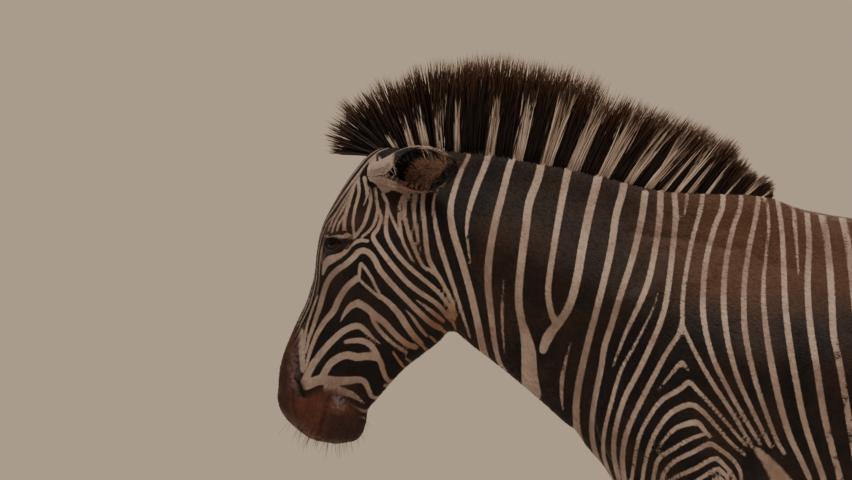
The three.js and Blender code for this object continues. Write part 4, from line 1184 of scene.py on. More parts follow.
def ear_material(colours):
    """Hair of the ears, fine and soft: cream at the base and the edge, black, and brown inside."""
    material, add, surface, marks = new_material("soft hair of the ears", ("pale", "fluffy"))
    place = add(COORDINATES, "Object")
    speck = add(NOISE, "Fac", Vector=place, Scale=1000 / EAR_GRAIN, Detail=2.0)
    speck = add(RANGE, 0, SOFT, Value=speck, From_Min=0.3, From_Max=0.7)
    dark = add(MIX, 2, COLOURS, i0=speck, i6=colours.dark, i7=colours.hair_dark)
    fluff = add(MIX, 2, COLOURS, i0=speck, i6=colours.ear_fluff,
                     i7=colours.ear_fluff_dark)
    pale = add(MIX, 2, COLOURS, i0=speck, i6=colours.pale, i7=colours.ear_pale)
    colour = add(MIX, 2, COLOURS, i0=marks["fluffy"], i6=dark, i7=fluff)
    colour = add(MIX, 2, COLOURS, i0=marks["pale"], i6=colour, i7=pale)
    finish(surface, Base_Color=colour, Roughness=0.6, Specular_IOR_Level=0.25, Sheen_Weight=0.15)
    return material


def hoof_material(colours):
    """Hoof horn, dark grey and dry: the eye sees fine upright grain over low growth rings."""
    material, add, surface, _ = new_material("hoof horn", ())
    place = add(COORDINATES, "Object")
    upright = add(MAPPING, 0, Vector=place, Scale=(1.0, 1.0, 0.12))
    level = add(MAPPING, 0, Vector=place, Scale=(0.1, 0.1, 1.0))
    grain = add(NOISE, "Fac", Vector=upright, Scale=1000 / HORN_GRAIN, Detail=3.0)
    ring_count = add(NOISE, "Fac", Vector=level, Scale=1000 / HORN_RING, Detail=2.0)
    worn = add(RANGE, 0, SOFT, Value=ring_count, From_Min=0.5, From_Max=0.7, To_Max=0.4)
    colour = add(MIX, 2, COLOURS, i0=grain, i6=colours.horn_dark, i7=colours.horn)
    colour = add(MIX, 2, COLOURS, i0=worn, i6=colour, i7=colours.horn_worn)
    finish(surface, Base_Color=colour, Roughness=0.48)
    relief = add(BUMP, 0, Height=grain, Strength=0.25, Distance=0.001)
    finish(surface, Normal=relief)
    return material


def floor_material(colours):
    """Painted studio floor: even, matt and pale."""
    material, _, surface, _ = new_material("pale painted floor", ())
    finish(surface, Base_Color=colours.floor, Roughness=0.9)
    return material


# ---- shapes for the separate pieces

def tube_faces(ring_count, around, closed_ends=True):
    """Triangles of a tube whose points come ring by ring, with a fan's middle point at each end."""
    faces = []
    for ring in range(ring_count - 1):
        for k in range(around):
            a = ring * around + k
            b = ring * around + (k + 1) % around
            faces += [(a, b, b + around), (a, b + around, a + around)]
    if closed_ends:
        first = ring_count * around
        last = (ring_count - 1) * around
        for k in range(around):
            faces.append((first, (k + 1) % around, k))
            faces.append((first + 1, last + k, last + (k + 1) % around))
    return np.array(faces)


def outward(points, faces):
    """Turns a closed mesh's faces outwards."""
    a, b, c = (points[faces[:, k]] for k in range(3))
    volume = (a * np.cross(b, c)).sum()
    return faces if volume > 0 else faces[:, ::-1]


def eyeball(side):
    """An eyeball with a bulging cornea. Gives its points in the straight pose, its faces, a and b."""
    ring_count, around = 30, 48
    polar = np.linspace(0, math.pi, ring_count + 2)[1:-1]
    turn = np.linspace(0, 2 * math.pi, around, endpoint=False)
    polar_grid, turn_grid = np.meshgrid(polar, turn, indexing="ij")
    cornea = 1.6 * smooth(math.radians(42), math.radians(18), polar_grid)
    radius = EYE_RADIUS + cornea
    a = (radius * np.sin(polar_grid) * np.cos(turn_grid)).ravel()
    b = (radius * np.sin(polar_grid) * np.sin(turn_grid)).ravel()
    g = (radius * np.cos(polar_grid)).ravel()
    a = np.append(a, (0, 0))
    b = np.append(b, (0, 0))
    g = np.append(g, (EYE_RADIUS + 1.6, -EYE_RADIUS))
    points = EYE + a[:, None] * LID_LINE + b[:, None] * LID_UP + g[:, None] * GAZE
    points[:, 1] *= side
    return points, outward(points - points.mean(0), tube_faces(ring_count, around)), a, b


EAR = {
    "base": (-806, 56, 1486),             # middle of the root
    "along": (176, 80, 14),               # from root to tip
    "opening": (-0.22, 0.93, -0.3),       # the way the hollow faces
    "length": 188,
    "wall": 5.0,
}
# Along the ear from 0 to 1: half width, depth of the hollow, and how far round the wall goes.
EAR_SHAPE = (
    (-0.10, 24, 20, 179), (0.04, 29, 24, 178), (0.16, 36, 28, 174), (0.30, 45, 32, 156),
    (0.45, 51, 32, 126), (0.60, 50, 29, 106), (0.74, 44, 25, 95), (0.86, 33, 19, 90),
    (0.95, 20, 12, 90), (1.0, 9, 6, 90),
)
EAR_INSET = 2.0
EAR_ACROSS = 30               # faces across each side of the wall


def ear_frame():
    """An ear's root, and its ways along, towards its opening and across."""
    along = np.array(EAR["along"], float)
    along /= np.linalg.norm(along)
    opening = np.array(EAR["opening"])
    opening -= along * (opening @ along)
    opening /= np.linalg.norm(opening)
    return np.array(EAR["base"], float), along, opening, np.cross(along, opening)


def ear_face(inset):
    """One face of the wall: points, place along the ear, and place across it from -1 to 1."""
    base, along, opening, across = ear_frame()
    rows = curve_through(EAR_SHAPE, 4)
    t = np.linspace(-1, 1, EAR_ACROSS + 1)
    points = []
    for place, half, depth, wall_turn in rows:
        turn = np.radians(wall_turn * t)
        thin = inset * (1 - 0.65 * np.abs(t) ** 6)
        ripple = 0.8 * np.sin(t * 9 + place * 6) * np.clip(place, 0, 1)
        wide = (half - thin)[:, None] * np.sin(turn)[:, None] * across
        deep = -(depth - thin + ripple)[:, None] * np.cos(turn)[:, None] * opening
        points.append(base + place * EAR["length"] * along + wide + deep)
    return np.array(points), rows[:, 0], t


def ear_shell(side):
    """The ear's wall as one closed shell, and which of its points are on the inner face."""
    outer, _, _ = ear_face(EAR_INSET)
    inner, _, _ = ear_face(EAR_INSET + EAR["wall"])
    ring_count = len(outer)
    loop = np.concatenate([outer, inner[:, ::-1]], 1)
    around = loop.shape[1]
    points = loop.reshape(-1, 3)
    faces = list(map(tuple, tube_faces(ring_count, around, False)))
    half = around // 2
    for ring, way in ((0, 1), (ring_count - 1, -1)):
        for k in range(half - 1):
            a, b = ring * around + k, ring * around + k + 1
            c, d = ring * around + around - 2 - k, ring * around + around - 1 - k
            for face in ((a, c, b), (a, d, c)):
                faces.append(face if way > 0 else face[::-1])
    is_inner = np.tile(np.repeat([0.0, 1.0], half), ring_count)
    points[:, 1] *= side
    faces = np.array(faces)
    return points, outward(points - points.mean(0), faces), is_inner


def hoof_shape(rows, shift, side, beside):
    """A hoof from the coronet to the sole, with low growth rings on its wall."""
    table = curve_through(rows, 8)
    around = 48
    turn = np.linspace(0, 2 * math.pi, around, endpoint=False)
    high = np.cos(turn)
    points = []
    for k, (fx, fz, bx, bz, front, middle, back) in enumerate(table):
        ring = 1 + 0.008 * math.sin(k * 2.1) * (0 < k < len(table) - 2)
        width = middle + (np.where(high > 0, front, back) - middle) * smooth(0, 0.8, np.abs(high))
        x = (fx + bx) / 2 + high * (fx - bx) / 2 * ring + shift
        z = (fz + bz) / 2 + high * (fz - bz) / 2
        heel = 6 * np.exp(-(turn - math.pi) ** 2 / 0.03)
        points.append(np.stack([x - heel, side * beside + np.sin(turn) * width * ring, z], 1))
    top = points[0].copy()
    middle = top.mean(0)
    points.insert(0, middle + (top - middle) * 0.86 + [0, 0, 5])
    sole = points[-1]
    points.append(sole.mean(0) + (sole - sole.mean(0)) * 0.9)
    grid = np.array(points)
    grid[:, :, 2] = np.maximum(grid[:, :, 2], 0)
    ring_count = len(grid)
    flat = np.vstack([grid.reshape(-1, 3), grid[0].mean(0), grid[-1].mean(0)])
    return flat, outward(flat - flat.mean(0), tube_faces(ring_count, around))


HOOF = {
    "fore": ((-198, 92, -127, 75, 29, 38, 29), (-214, 62, -127, 50, 33, 42, 31),
             (-232, 28, -130, 22, 36, 46, 33), (-246, 0, -134, 0, 38, 48, 34)),
    "hind": ((866, 95, 939, 77, 29, 38, 29), (852, 64, 938, 51, 32, 41, 31),
             (836, 29, 934, 22, 34, 44, 32), (823, 0, 930, 0, 36, 46, 33)),
}
HOOF_BESIDE = {"fore": 106, "hind": 117}


def locks(roots, ways, lengths, widths, sags, wobble, rng, ring_count=5, flat=0.5):
    """Many locks of hair as three-sided tapering tubes.

    Gives points, triangles, each point's lock and each point's place along its lock.
    """
    count = len(roots)
    t = np.linspace(0, 1, ring_count + 1)[:-1]
    side = np.cross(ways, np.array((0.3, 1.0, 0.2)))
    side /= np.linalg.norm(side, axis=1)[:, None]
    over = np.cross(ways, side)
    spin = rng.uniform(0, 2 * math.pi, count)
    swing = wobble * lengths
    phase = rng.uniform(0, 2 * math.pi, count)
    points = np.zeros((count, ring_count * 3 + 1, 3))

    def middle(s):
        """The middle of every lock, that far along it."""
        sway = swing * (np.sin(phase + 3.0 * s) - np.sin(phase)) * s
        return (roots + ways * (lengths * s)[:, None] + sags * (lengths * s * s)[:, None]
                + side * sway[:, None])

    for ring, s in enumerate(t):
        width = widths * (1 - s) ** 0.55 * (0.55 + 0.9 * s * (1 - s) + 0.45)
        for k in range(3):
            turn = spin + k * 2 * math.pi / 3
            offset = side * np.cos(turn)[:, None] + over * np.sin(turn)[:, None] * flat
            points[:, ring * 3 + k] = middle(s) + offset * (width / 2)[:, None]
    points[:, -1] = middle(1.0)
    faces = []
    for ring in range(ring_count - 1):
        for k in range(3):
            a, b = ring * 3 + k, ring * 3 + (k + 1) % 3
            faces += [(a, b, b + 3), (a, b + 3, a + 3)]
    last = (ring_count - 1) * 3
    faces += [(last + k, last + (k + 1) % 3, ring_count * 3) for k in range(3)]
    faces.append((0, 2, 1))
    one = np.array(faces)
    corners = points.shape[1]
    all_faces = (one[None] + (np.arange(count) * corners)[:, None, None]).reshape(-1, 3)
    a, b, c = (points[0][one[:, k]] for k in range(3))
    if ((a - roots[0]) * np.cross(b - roots[0], c - roots[0])).sum() < 0:
        all_faces = all_faces[:, ::-1]
    along = np.append(np.repeat(t, 3), 1.0)
    return points.reshape(-1, 3), all_faces, np.repeat(np.arange(count), corners), np.tile(along, count)

# Along the crest: where each lock is rooted (x), its length, and its lean towards the forehead.
MANE = (
    (-826, 84, 84), (-819, 113, 68), (-788, 145, 41), (-756, 160, 23), (-714, 171, 11), (-672, 187, 0),
    (-609, 209, -6), (-525, 203, -12), (-441, 193, -19), (-357, 171, -29), (-273, 173, -37),
    (-189, 149, -39), (-105, 85, -38), (-42, 49, -51), (-16, 24, -60),
)
# Pale bands of the mane at its root, from and to, in the drawing's units.
MANE_BANDS = (
    (371, 373), (381, 383.5), (399, 405), (413, 420), (425, 432), (439, 446), (455, 462), (486, 495),
    (512, 523), (540, 552), (566, 579), (596, 607), (621, 630), (641, 650), (657, 662), (670, 675),
    (683, 688), (700, 705), (720, 725), (738, 743), (755, 759),
)
SEEDS = {"mane": 11, "tail": 12, "ears": 20, "lashes": 40, "whiskers": 42, "hoof_hair": 44, "coat": 100}
MANE_LOCKS = 5850
MANE_CLUMPS = 115             # locks lean together at their tips in this many wisps
TAIL_LOCKS = 620


def crest_height(x):
    """The top of the flesh in the middle of the neck."""
    low = np.full(len(x), 1380.0)
    high = np.full(len(x), 1600.0)
    for _ in range(16):
        middle = (low + high) / 2
        inside = flesh(np.stack([x, 0 * x, middle], 1)) < 0
        low = np.where(inside, middle, low)
        high = np.where(inside, high, middle)
    return low


def mane_rows(x):
    """Root height, length of hair and its way at places along the crest."""
    table = curve_through(MANE)
    order = np.argsort(table[:, 0])
    x_table = table[order, 0]
    length = np.interp(x, x_table, table[order, 1])
    lean = np.radians(np.interp(x, x_table, table[order, 2]))
    way = np.stack([-np.sin(lean), 0 * x, np.cos(lean)], 1)
    return crest_height(np.maximum(x, -822)), length, way


def mane_band(x, z):
    """How pale the mane's hair is where it grows, from 0 to 1."""
    u = side_view(np.stack([x, 0 * x, z], 1))[:, 0]
    band = np.zeros(len(x))
    for start, end in MANE_BANDS:
        middle = (start + end) / 2
        half = (end - start) / 2
        band = np.maximum(band, smooth(half + 0.9, half - 0.9, np.abs(u - middle)))
    return band


def tangent(ways, normals):
    """Lays ways flat on the surface."""
    ways = ways - normals * (ways * normals).sum(1)[:, None]
    return ways / np.maximum(np.linalg.norm(ways, axis=1), 1e-9)[:, None]


def lie_of_coat(points, normals):
    """The way the hair lies at each point of the straight pose."""
    x, y, z = points.T
    head = smooth(-60, 60, on_head_distance(points))[:, None]
    leg = smooth(930, 800, z)[:, None]
    neck = smooth(-150, -350, x)[:, None]
    body = np.array((1.0, 0, -0.42))
    on_neck = np.array((0.72, 0, -0.70))
    down = np.array((0.08, 0, -1.0))
    face = np.array((-0.42, 0, -0.90))
    cheek = np.array((0.25, 0, -0.95))
    back = smooth(-840, -740, x)[:, None]
    way = body * (1 - neck) + on_neck * neck
    way = way * (1 - head) + (face * (1 - back) + cheek * back) * head
    way = way * (1 - leg) + down * leg
    tail = ((x > 1100) & (np.abs(y) < 45))[:, None]
    way = np.where(tail, np.array((0.15, 0, -1.0)), way)
    return tangent(way, normals)


def unwrap(points):
    """Each point's place on an unwrap of the skin: one rectangle for each part of the body."""
    uv = np.zeros((len(points), 2))
    x, y, z = points.T
    parts = [(TRUNK, (0.02, 0.52, 0.96, 0.46), np.ones(len(points), bool))]
    parts.append((FACE, (0.02, 0.27, 0.46, 0.22), on_head(points)))
    spots = {"fore_left": 0.02, "fore_right": 0.27, "hind_left": 0.52, "hind_right": 0.77}
    for name, leg in LEGS.items():
        left = name.endswith("left")
        region = (z < 800) & (y < 0 if left else y >= 0)
        region &= (x < 330) if name.startswith("fore") else (x >= 330)
        parts.append((leg, (spots[name], 0.02, 0.21, 0.22), region))
    parts.append((TAIL, (0.52, 0.27, 0.46, 0.22), (x > 1125) & (np.abs(y) < 45)))
    for loft, (left, low, width, height), region in parts:
        if region.any():
            along, turn = loft.round_about(points[region])
            uv[region, 0] = left + width * np.clip(along, 0, 1)
            uv[region, 1] = low + height * (turn / (2 * math.pi) + 0.5)
    return uv


PATCH = 0.0015                # half of a tuft's patch on the unwrap


@functools.cache
def straight_skin():
    """The skin in the straight pose: points, triangles and normals."""
    points, triangles = skin_mesh()
    points = open_the_lids(points)
    points = creased(points, triangles)
    return points, triangles, normals_of(points, triangles)


# The coat's parts: name, tufts per square metre, their length, width and lift.
COAT_PARTS = (
    ("head", 190000, 6.0, 1.4, 0.10),
    ("neck", 112000, 9.0, 2.2, 0.09),
    ("shoulder", 104000, 9.5, 2.3, 0.09),
    ("trunk", 46000, 12.0, 2.9, 0.09),
    ("legs", 60000, 9.0, 2.1, 0.09),
)


def part_of_coat(points):
    """The number of the coat part that each point is in."""
    x, _, z = points.T
    part = np.where(x < -330, 1, np.where(x < 180, 2, 3))
    part = np.where(z < 760, 4, part)
    return np.where(on_head(points), 0, part)


def grow_tufts(part, side, rng):
    """Tufts of one part of the coat on one side, as closed four-faced slivers."""
    _, density, length, width, lift = COAT_PARTS[part]
    points, triangles, normals = straight_skin()
    a, b, c = (points[triangles[:, k]] for k in range(3))
    middle = (a + b + c) / 3
    chosen = (part_of_coat(middle) == part) & ((middle[:, 1] < 0) == (side < 0))
    area = np.linalg.norm(np.cross(b - a, c - a), axis=1) / 2 * chosen
    count = int(area.sum() * MM * MM * density * (1.0))
    pick = np.searchsorted(np.cumsum(area), rng.uniform(0, area.sum(), count))
    pick = np.clip(pick, 0, len(triangles) - 1)
    r = np.sqrt(rng.uniform(0, 1, count))[:, None]
    s = rng.uniform(0, 1, count)[:, None]
    roots = a[pick] * (1 - r) + b[pick] * r * (1 - s) + c[pick] * r * s
    n = sum(normals[triangles[pick, k]] * w
            for k, w in enumerate(((1 - r), r * (1 - s), r * s)))
    n /= np.linalg.norm(n, axis=1)[:, None]
    _, _, _, outside = eye_place(roots)
    marks = markings(roots)
    keep = (outside > 2.6) & (marks["shadowed"] < 0.8) & (roots[:, 2] > 84)
    keep &= rng.uniform(0, 1, count) > 0.82 * marks["muzzle"] - 0.25
    roots, n, outside = roots[keep], n[keep], outside[keep]
    marks = {name: value[keep] for name, value in marks.items()}
    count = len(roots)
    along = lie_of_coat(roots, n)
    beside = np.cross(n, along)
    jitter = rng.normal(0, 0.16, count)[:, None]
    along = tangent(along + beside * jitter, n)
    beside = np.cross(n, along)
    size = rng.uniform(0.65, 1.2, count) * coat_length(roots, outside)
    size = size * (1 - 0.4 * marks["muzzle"])
    lengths = (length * size)[:, None]
    half = (width * rng.uniform(0.7, 1.2, count) * np.clip(size, 0.5, 1.2))[:, None] / 2
    rise = (lift + 0.10 * shaggy(roots))[:, None] * rng.uniform(0.5, 1.5, count)[:, None]
    corners = np.zeros((count, 4, 3))
    corners[:, 0] = roots + beside * half - n * 0.7
    corners[:, 1] = roots - beside * half - n * 0.7
    corners[:, 2] = roots + n * 0.45 + along * lengths * 0.15
    corners[:, 3] = roots + along * lengths + n * (lengths * rise)
    one = np.array([(0, 2, 1), (0, 3, 2), (1, 2, 3), (0, 1, 3)])
    p = corners[0]
    volume = sum(np.dot(p[i] - roots[0], np.cross(p[j] - roots[0], p[k] - roots[0])) for i, j, k in one)
    if volume < 0:
        one = one[:, ::-1]
    faces = (one[None] + (np.arange(count) * 4)[:, None, None]).reshape(-1, 3)
    tips = markings(corners[:, 3])
    halfway = markings(roots + along * lengths / 2)
    across = (halfway["exact"] * marks["exact"] < 0) & (halfway["exact"] * tips["exact"] < 0)
    corners[across, 3] = (roots + along * lengths / 2 + n * 0.8)[across]
    tips = {name: np.where(across, halfway[name], value) for name, value in tips.items()}
    marks = {name: np.stack([value, value, value, tips[name]], 1).ravel() for name, value in marks.items()}
    tilt = n + beside * rng.normal(0, 0.20, count)[:, None] + along * rng.normal(0.08, 0.12, count)[:, None]
    return corners.reshape(-1, 3), faces, roots, tilt, marks


def coat_length(points, outside):
    """How long the coat is, as a share of its part's usual length."""
    x, _, z = points.T
    short = 0.45 + 0.55 * smooth(3, 16, outside)
    jaw = smooth(-800, -700, x) * smooth(1330, 1180, z) * on_head(points, -30)
    under = smooth(0.75, 0.95, np.abs(TRUNK.round_about(points)[1]) / math.pi) * (z > 700)
    behind_head = smooth(-170, -60, on_head_distance(points)) * ~on_head(points)
    return short * (1 + 0.5 * jaw + 0.35 * under) * (1 - 0.35 * behind_head)


def shaggy(points):
    """Where the coat stands out a little: throat, breast and belly."""
    return smooth(0.8, 0.97, np.abs(TRUNK.round_about(points)[1]) / math.pi)


# ---- settings


def colour(name, description, hex_colour):
    """A colour setting with its default."""
    return bpy.props.FloatVectorProperty(name=name, description=description, subtype="COLOR", size=4,
                                         min=0, max=1, default=linear(hex_colour))


class ZebraColours(bpy.types.PropertyGroup):
    """Colours of the coat, hair, eyes, hooves and floor."""

    dark: colour("Dark stripes", "Brown-black hair of the dark stripes", "#150e0d")
    # Painted sunlight: this brown is painted on the dark stripes where the sun falls on the top of the neck
    # and back; dust patches take some of it too.
    dark_sunlit_and_dusty: colour("Dark stripes, faded", "The same hair where the sun has faded it", "#5d3c27")
    pale: colour("Pale stripes", "Cream hair of the pale stripes", "#c3aea0")
    pale_dusty: colour("Pale stripes, dusty", "The same hair with dust in it", "#a38b80")
    tan: colour("Tan hair", "Brown hair of the jaw's edge and the elbow", "#94663f")
    muzzle: colour("Muzzle", "Short brown hair of the muzzle", "#613424")
    muzzle_dark: colour("Muzzle, dark", "The darkest hair of the muzzle", "#3a2119")
    grey_skin: colour("Grey skin", "Mottled skin beside the nostril and the mouth", "#8d8385")
    lid: colour("Lids", "Bare skin round the eye", "#120c0b")
    lower_lid: colour("Lower lid", "The red-brown edge of the lower lid", "#4b2219")
    wet_corner: colour("Corner of the eye", "Wet skin in the corners of the eye", "#24120f")
    # Painted shade: this near-black is painted into the nostrils, the mouth's line, the nostril's fold and
    # the shoulder's creases.
    inside: colour("Inside of the nostril", "Dark skin in the nostril", "#0c0707")
    iris: colour("Iris", "Lighter brown of the iris", "#24150e")
    iris_dark: colour("Iris, dark", "Darker brown of the iris", "#120a07")
    pupil: colour("Pupil", "The level pupil", "#050404")
    eye_edge: colour("Edge of the eye", "The dark white of the eye", "#2b1a15")
    hair_dark: colour("Mane, black", "Black hair of the mane and the tail", "#14100f")
    hair_brown: colour("Mane, brown-black", "Sun-browned dark hair", "#2d1e17")
    hair_pale: colour("Mane, cream", "Cream hair of the mane", "#e2d0c0")
    hair_dusty: colour("Mane, dusty", "Dusty cream hair of the mane", "#b39d8d")
    # Partly the tips' own brown, partly painted backlight shining through them.
    hair_tip: colour("Tips", "Brown tips of the mane", "#5b3b28")
    ear_fluff: colour("Ear hair", "Brown hair inside the ears", "#a5816b")
    ear_fluff_dark: colour("Ear hair, dark", "The darker hair inside the ears", "#785a49")
    ear_pale: colour("Ear, pale", "Pinkish-white hair of the ear's base and edge", "#c9b3a8")
    horn: colour("Hoof", "Hoof horn", "#4a433e")
    horn_dark: colour("Hoof, dark", "Dark grain of the hoof horn", "#28231f")
    horn_worn: colour("Hoof, worn", "Dry growth rings of the hoof", "#6b6259")
    floor: colour("Floor", "The studio floor", "#d9d2ca")


class ZebraSizes(bpy.types.PropertyGroup):
    """Sizes of the hair, in metres."""

    mane_lock: bpy.props.FloatProperty(name="Mane lock", description="Width of a lock of the mane",
                                       default=0.0038, min=0.001, unit="LENGTH")
    tail_lock: bpy.props.FloatProperty(name="Tail lock", description="Width of a lock of the tail tuft",
                                       default=0.0075, min=0.001, unit="LENGTH")
    floor_radius: bpy.props.FloatProperty(name="Floor", description="Radius of the floor",
                                          default=14.0, min=2.0, unit="LENGTH")


# ---- operators

SKIN_NODES = ("head", "neck", "trunk", "forearm_left", "forearm_right", "thigh_left", "thigh_right",
              "cannon_fore_left", "cannon_fore_right", "cannon_hind_left", "cannon_hind_right", "tail_dock")


MATERIALS = {
    "skin": functools.partial(coat_material, "short striped coat over skin", NUMBERS_ON_SKIN),
    "tufts": functools.partial(coat_material, "tufts of the short striped coat", NUMBERS_ON_TUFTS),
    "eye": eye_material,
    "mane": mane_material,
    "ear": ear_material,
    "hoof": hoof_material,
    "floor": floor_material,
}


@functools.cache
def material_named(kind):
    """Each material is made once and shared."""
    return MATERIALS[kind](bpy.context.scene.zebra_colours)


class ZEBRA_OT_skin(bpy.types.Operator):
    """Build the whole skin with its markings."""

    bl_idname = "zebra.skin"
    bl_label = "Skin"

    def execute(self, context):
        points, triangles, _ = straight_skin()
        piece = new_piece("skin", points, triangles, "skin", SKIN_NODES)
        marks = markings(points)
        for name in NUMBERS_ON_SKIN:
            add_numbers(piece.data, name, marks[name])
        return {"FINISHED"}


class ZEBRA_OT_eyes(bpy.types.Operator):
    """Build the eyeballs."""

    bl_idname = "zebra.eyes"
    bl_label = "Eyes"

    def execute(self, context):
        for name, side in RIGHT_AND_LEFT.items():
            points, faces, a, b = eyeball(side)
            piece = new_piece(f"eyeball_{name}", points, faces, "eye", (f"eye_{name}",))
            add_numbers(piece.data, "along_lids", a)
            add_numbers(piece.data, "up_lids", b)
        return {"FINISHED"}


class ZEBRA_OT_hooves(bpy.types.Operator):
    """Build the four hooves."""

    bl_idname = "zebra.hooves"
    bl_label = "Hooves"

    def execute(self, context):
        for end, shifts in STANCE.items():
            for (name, side), shift in zip(RIGHT_AND_LEFT.items(), shifts):
                points, faces = hoof_shape(HOOF[end], shift, side, HOOF_BESIDE[end])
                new_piece(f"hoof_wall_{end}_{name}", points, faces, "hoof",
                          (f"hoof_{end}_{name}",))
        return {"FINISHED"}


class ZEBRA_OT_mane(bpy.types.Operator):
    """Grow the upright mane and the forelock."""

    bl_idname = "zebra.mane"
    bl_label = "Mane"

    def execute(self, context):
        rng = np.random.default_rng(SEEDS["mane"])
        count = MANE_LOCKS
        x = -836 + 826 * rng.uniform(0, 1, count)
        height, length, way = mane_rows(x)
        spread = np.interp(x, (-836, -780, -500, -10), (13, 17, 19, 12))
        y = rng.uniform(-1, 1, count) * spread
        roots = np.stack([x, y, height - 12 - 0.25 * np.abs(y)], 1)
        out = 0.05 * y / spread
        way = way + np.stack([rng.normal(0, 0.035, count), out + rng.normal(0, 0.02, count), 0 * x], 1)
        way /= np.linalg.norm(way, axis=1)[:, None]
        clump = np.sort(rng.uniform(-850, -5, MANE_CLUMPS))
        nearest = np.abs(x[:, None] - clump).argmin(1)
        tall = rng.uniform(0.92, 1.05, MANE_CLUMPS)[nearest]
        lengths = (length + 12) * tall * rng.beta(5.5, 0.9, count) * 1.03
        drawn_in = 0.6 * (clump[nearest] - x) / lengths
        forward = drawn_in + rng.normal(0, 0.035, count)
        sag = np.stack([forward, rng.normal(0, 0.03, count) - 0.6 * y / lengths, 0 * x], 1)
        widths = context.scene.zebra_sizes.mane_lock / MM * rng.uniform(0.6, 1.3, count)
        widths *= np.interp(lengths, (20, 120), (0.6, 1.0))
        points, faces, lock, along = locks(roots, way, lengths, widths, sag, 0.03, rng, 6)
        piece = new_piece("mane_hair", points, faces, "mane", ("mane",))
        band = mane_band(x, height)
        fade = np.interp(x, (-836, -790, -740, -560, -430, -100), (0.15, 0.22, 0.45, 0.55, 0.80, 0.92))
        fade = fade + rng.normal(0, 0.10, count)
        grey = rng.uniform(0, 1, count) < 0.10 * smooth(60, 10, np.abs(x + 640))
        band = band[lock] * smooth(fade[lock] + 0.12, fade[lock] - 0.12, along)
        band = np.maximum(band, 0.8 * grey[lock])
        add_hair_numbers(piece.data, band, rng.uniform(0, 1, count)[lock], along)
        return {"FINISHED"}


def ear_marks(points, inner):
    """How pale and how brown each point of an ear is, as seen from its open side and on its back."""
    places = side_view(points)
    base, _, opening, _ = ear_frame()
    away = mirrored_to_right(points) - base
    hollow = np.maximum(inner, smooth(0, 6, away @ opening))
    brown = smooth(1.0, -1.5, distance_to_strokes(places, EAR_BROWN)) * hollow
    pale = smooth(1.2, -1.2, distance_to_strokes(places, EAR_PALE))
    pale_back = smooth(452, 436, places[:, 0])
    pale = pale * hollow + pale_back * (1 - hollow)
    return pale, brown * (1 - pale)


class ZEBRA_OT_ears(bpy.types.Operator):
    """Build the ears, with the hair inside them and round their rims."""

    bl_idname = "zebra.ears"
    bl_label = "Ears"

    def execute(self, context):
        for name, side in RIGHT_AND_LEFT.items():
            rng = np.random.default_rng(SEEDS["ears"] + (side > 0))
            points, faces, inner = ear_shell(side)
            piece = new_piece(f"ear_shell_{name}", points, faces, "ear", (f"ear_{name}",))
            add_ear_numbers(piece.data, *ear_marks(points, inner))
            hair, hair_faces, pale, fluffy = ear_hair(side, rng)
            piece = new_piece(f"ear_hair_{name}", hair, hair_faces, "ear", ())
            add_ear_numbers(piece.data, pale, fluffy)
        return {"FINISHED"}


# Hair of the ears: how many, from where to where along the ear, which part of it, their way along,
# across and towards the opening, its scatter, their length and width from and to, how far inside
# they are, and the rings of each.
EAR_HAIR = (
    (520, 0.12, 0.90, "hollow", 0.75, -0.85, 0.42, 0.22, 14, 34, 1.6, 3.2, 1.0, 4),
    (420, 0.10, 1.00, "rim", 1.0, 0.10, 0.16, 0.12, 6, 12, 1.2, 2.2, 0.5, 2),
    (3600, 0.02, 0.98, "back", 1.0, 0.0, -0.06, 0.10, 6, 11, 1.4, 2.6, 0.0, 2),
    (700, 0.02, 0.28, "base", 0.9, 0.55, 0.10, 0.10, 10, 17, 2.0, 3.0, 0.0, 2),
)


def across_ear(kind, count, rng):
    """Where hairs of that part of the ear are rooted across it, from 0 to 1."""
    if kind == "hollow":
        return rng.uniform(0.04, 0.96, count)
    if kind == "rim":
        inset = 0.4 / EAR_ACROSS
        return np.where(rng.uniform(0, 1, count) < 0.5, inset, 1 - inset)
    if kind == "back":
        return rng.uniform(0, 1, count)
    edge = np.where(rng.uniform(0, 1, count) < 0.5, -1, 1)
    return (1 + edge * rng.uniform(0.86, 0.99, count)) / 2


def on_ear(face, i, k):
    """Points between the grid points of an ear's face."""
    row = np.minimum(i.astype(int), face.shape[0] - 2)
    column = np.minimum(k.astype(int), face.shape[1] - 2)
    f = (i - row)[:, None]
    g = (k - column)[:, None]
    near = face[row, column] * (1 - g) + face[row, column + 1] * g
    far = face[row + 1, column] * (1 - g) + face[row + 1, column + 1] * g
    return near * (1 - f) + far * f


def ear_hair(side, rng):
    """Long soft hair inside an ear and short hair on its rim, back and base."""
    _, along, opening, across = ear_frame()
    inner, _, _ = ear_face(EAR_INSET + EAR["wall"] * 0.8)
    outer, _, _ = ear_face(EAR_INSET)
    sets = []
    for count, start, end, kind, up, out, ahead, scatter, *sizes, inside, ring_count in EAR_HAIR:
        i = rng.uniform(start, end, count) * (len(outer) - 1)
        k = across_ear(kind, count, rng) * EAR_ACROSS
        edge = (k / EAR_ACROSS * 2 - 1)[:, None]
        if kind == "base":
            edge = np.sign(edge)
        way = up * along + edge * out * across + ahead * opening + rng.normal(0, scatter, (count, 3))
        way /= np.linalg.norm(way, axis=1)[:, None]
        roots = on_ear(inner if kind == "hollow" else outer, i, k)
        sets.append((roots, way, rng.uniform(*sizes[:2], count), rng.uniform(*sizes[2:], count),
                     inside, ring_count))
    parts = []
    start = 0
    for roots, ways, lengths, widths, inside, ring_count in sets:
        sag = rng.normal(0, 0.12, (len(roots), 3))
        points, faces, lock, _ = locks(roots, ways, lengths, widths, sag, 0.03, rng, ring_count)
        pale, fluffy = ear_marks(roots * [1, -1, 1], np.full(len(roots), min(inside * 2, 1.0)))
        parts.append((points, faces + start, pale[lock], fluffy[lock]))
        start += len(points)
    points, faces, pale, fluffy = (np.concatenate(column) for column in zip(*parts))
    points[:, 1] *= side
    return points, faces if side > 0 else faces[:, ::-1], pale, fluffy


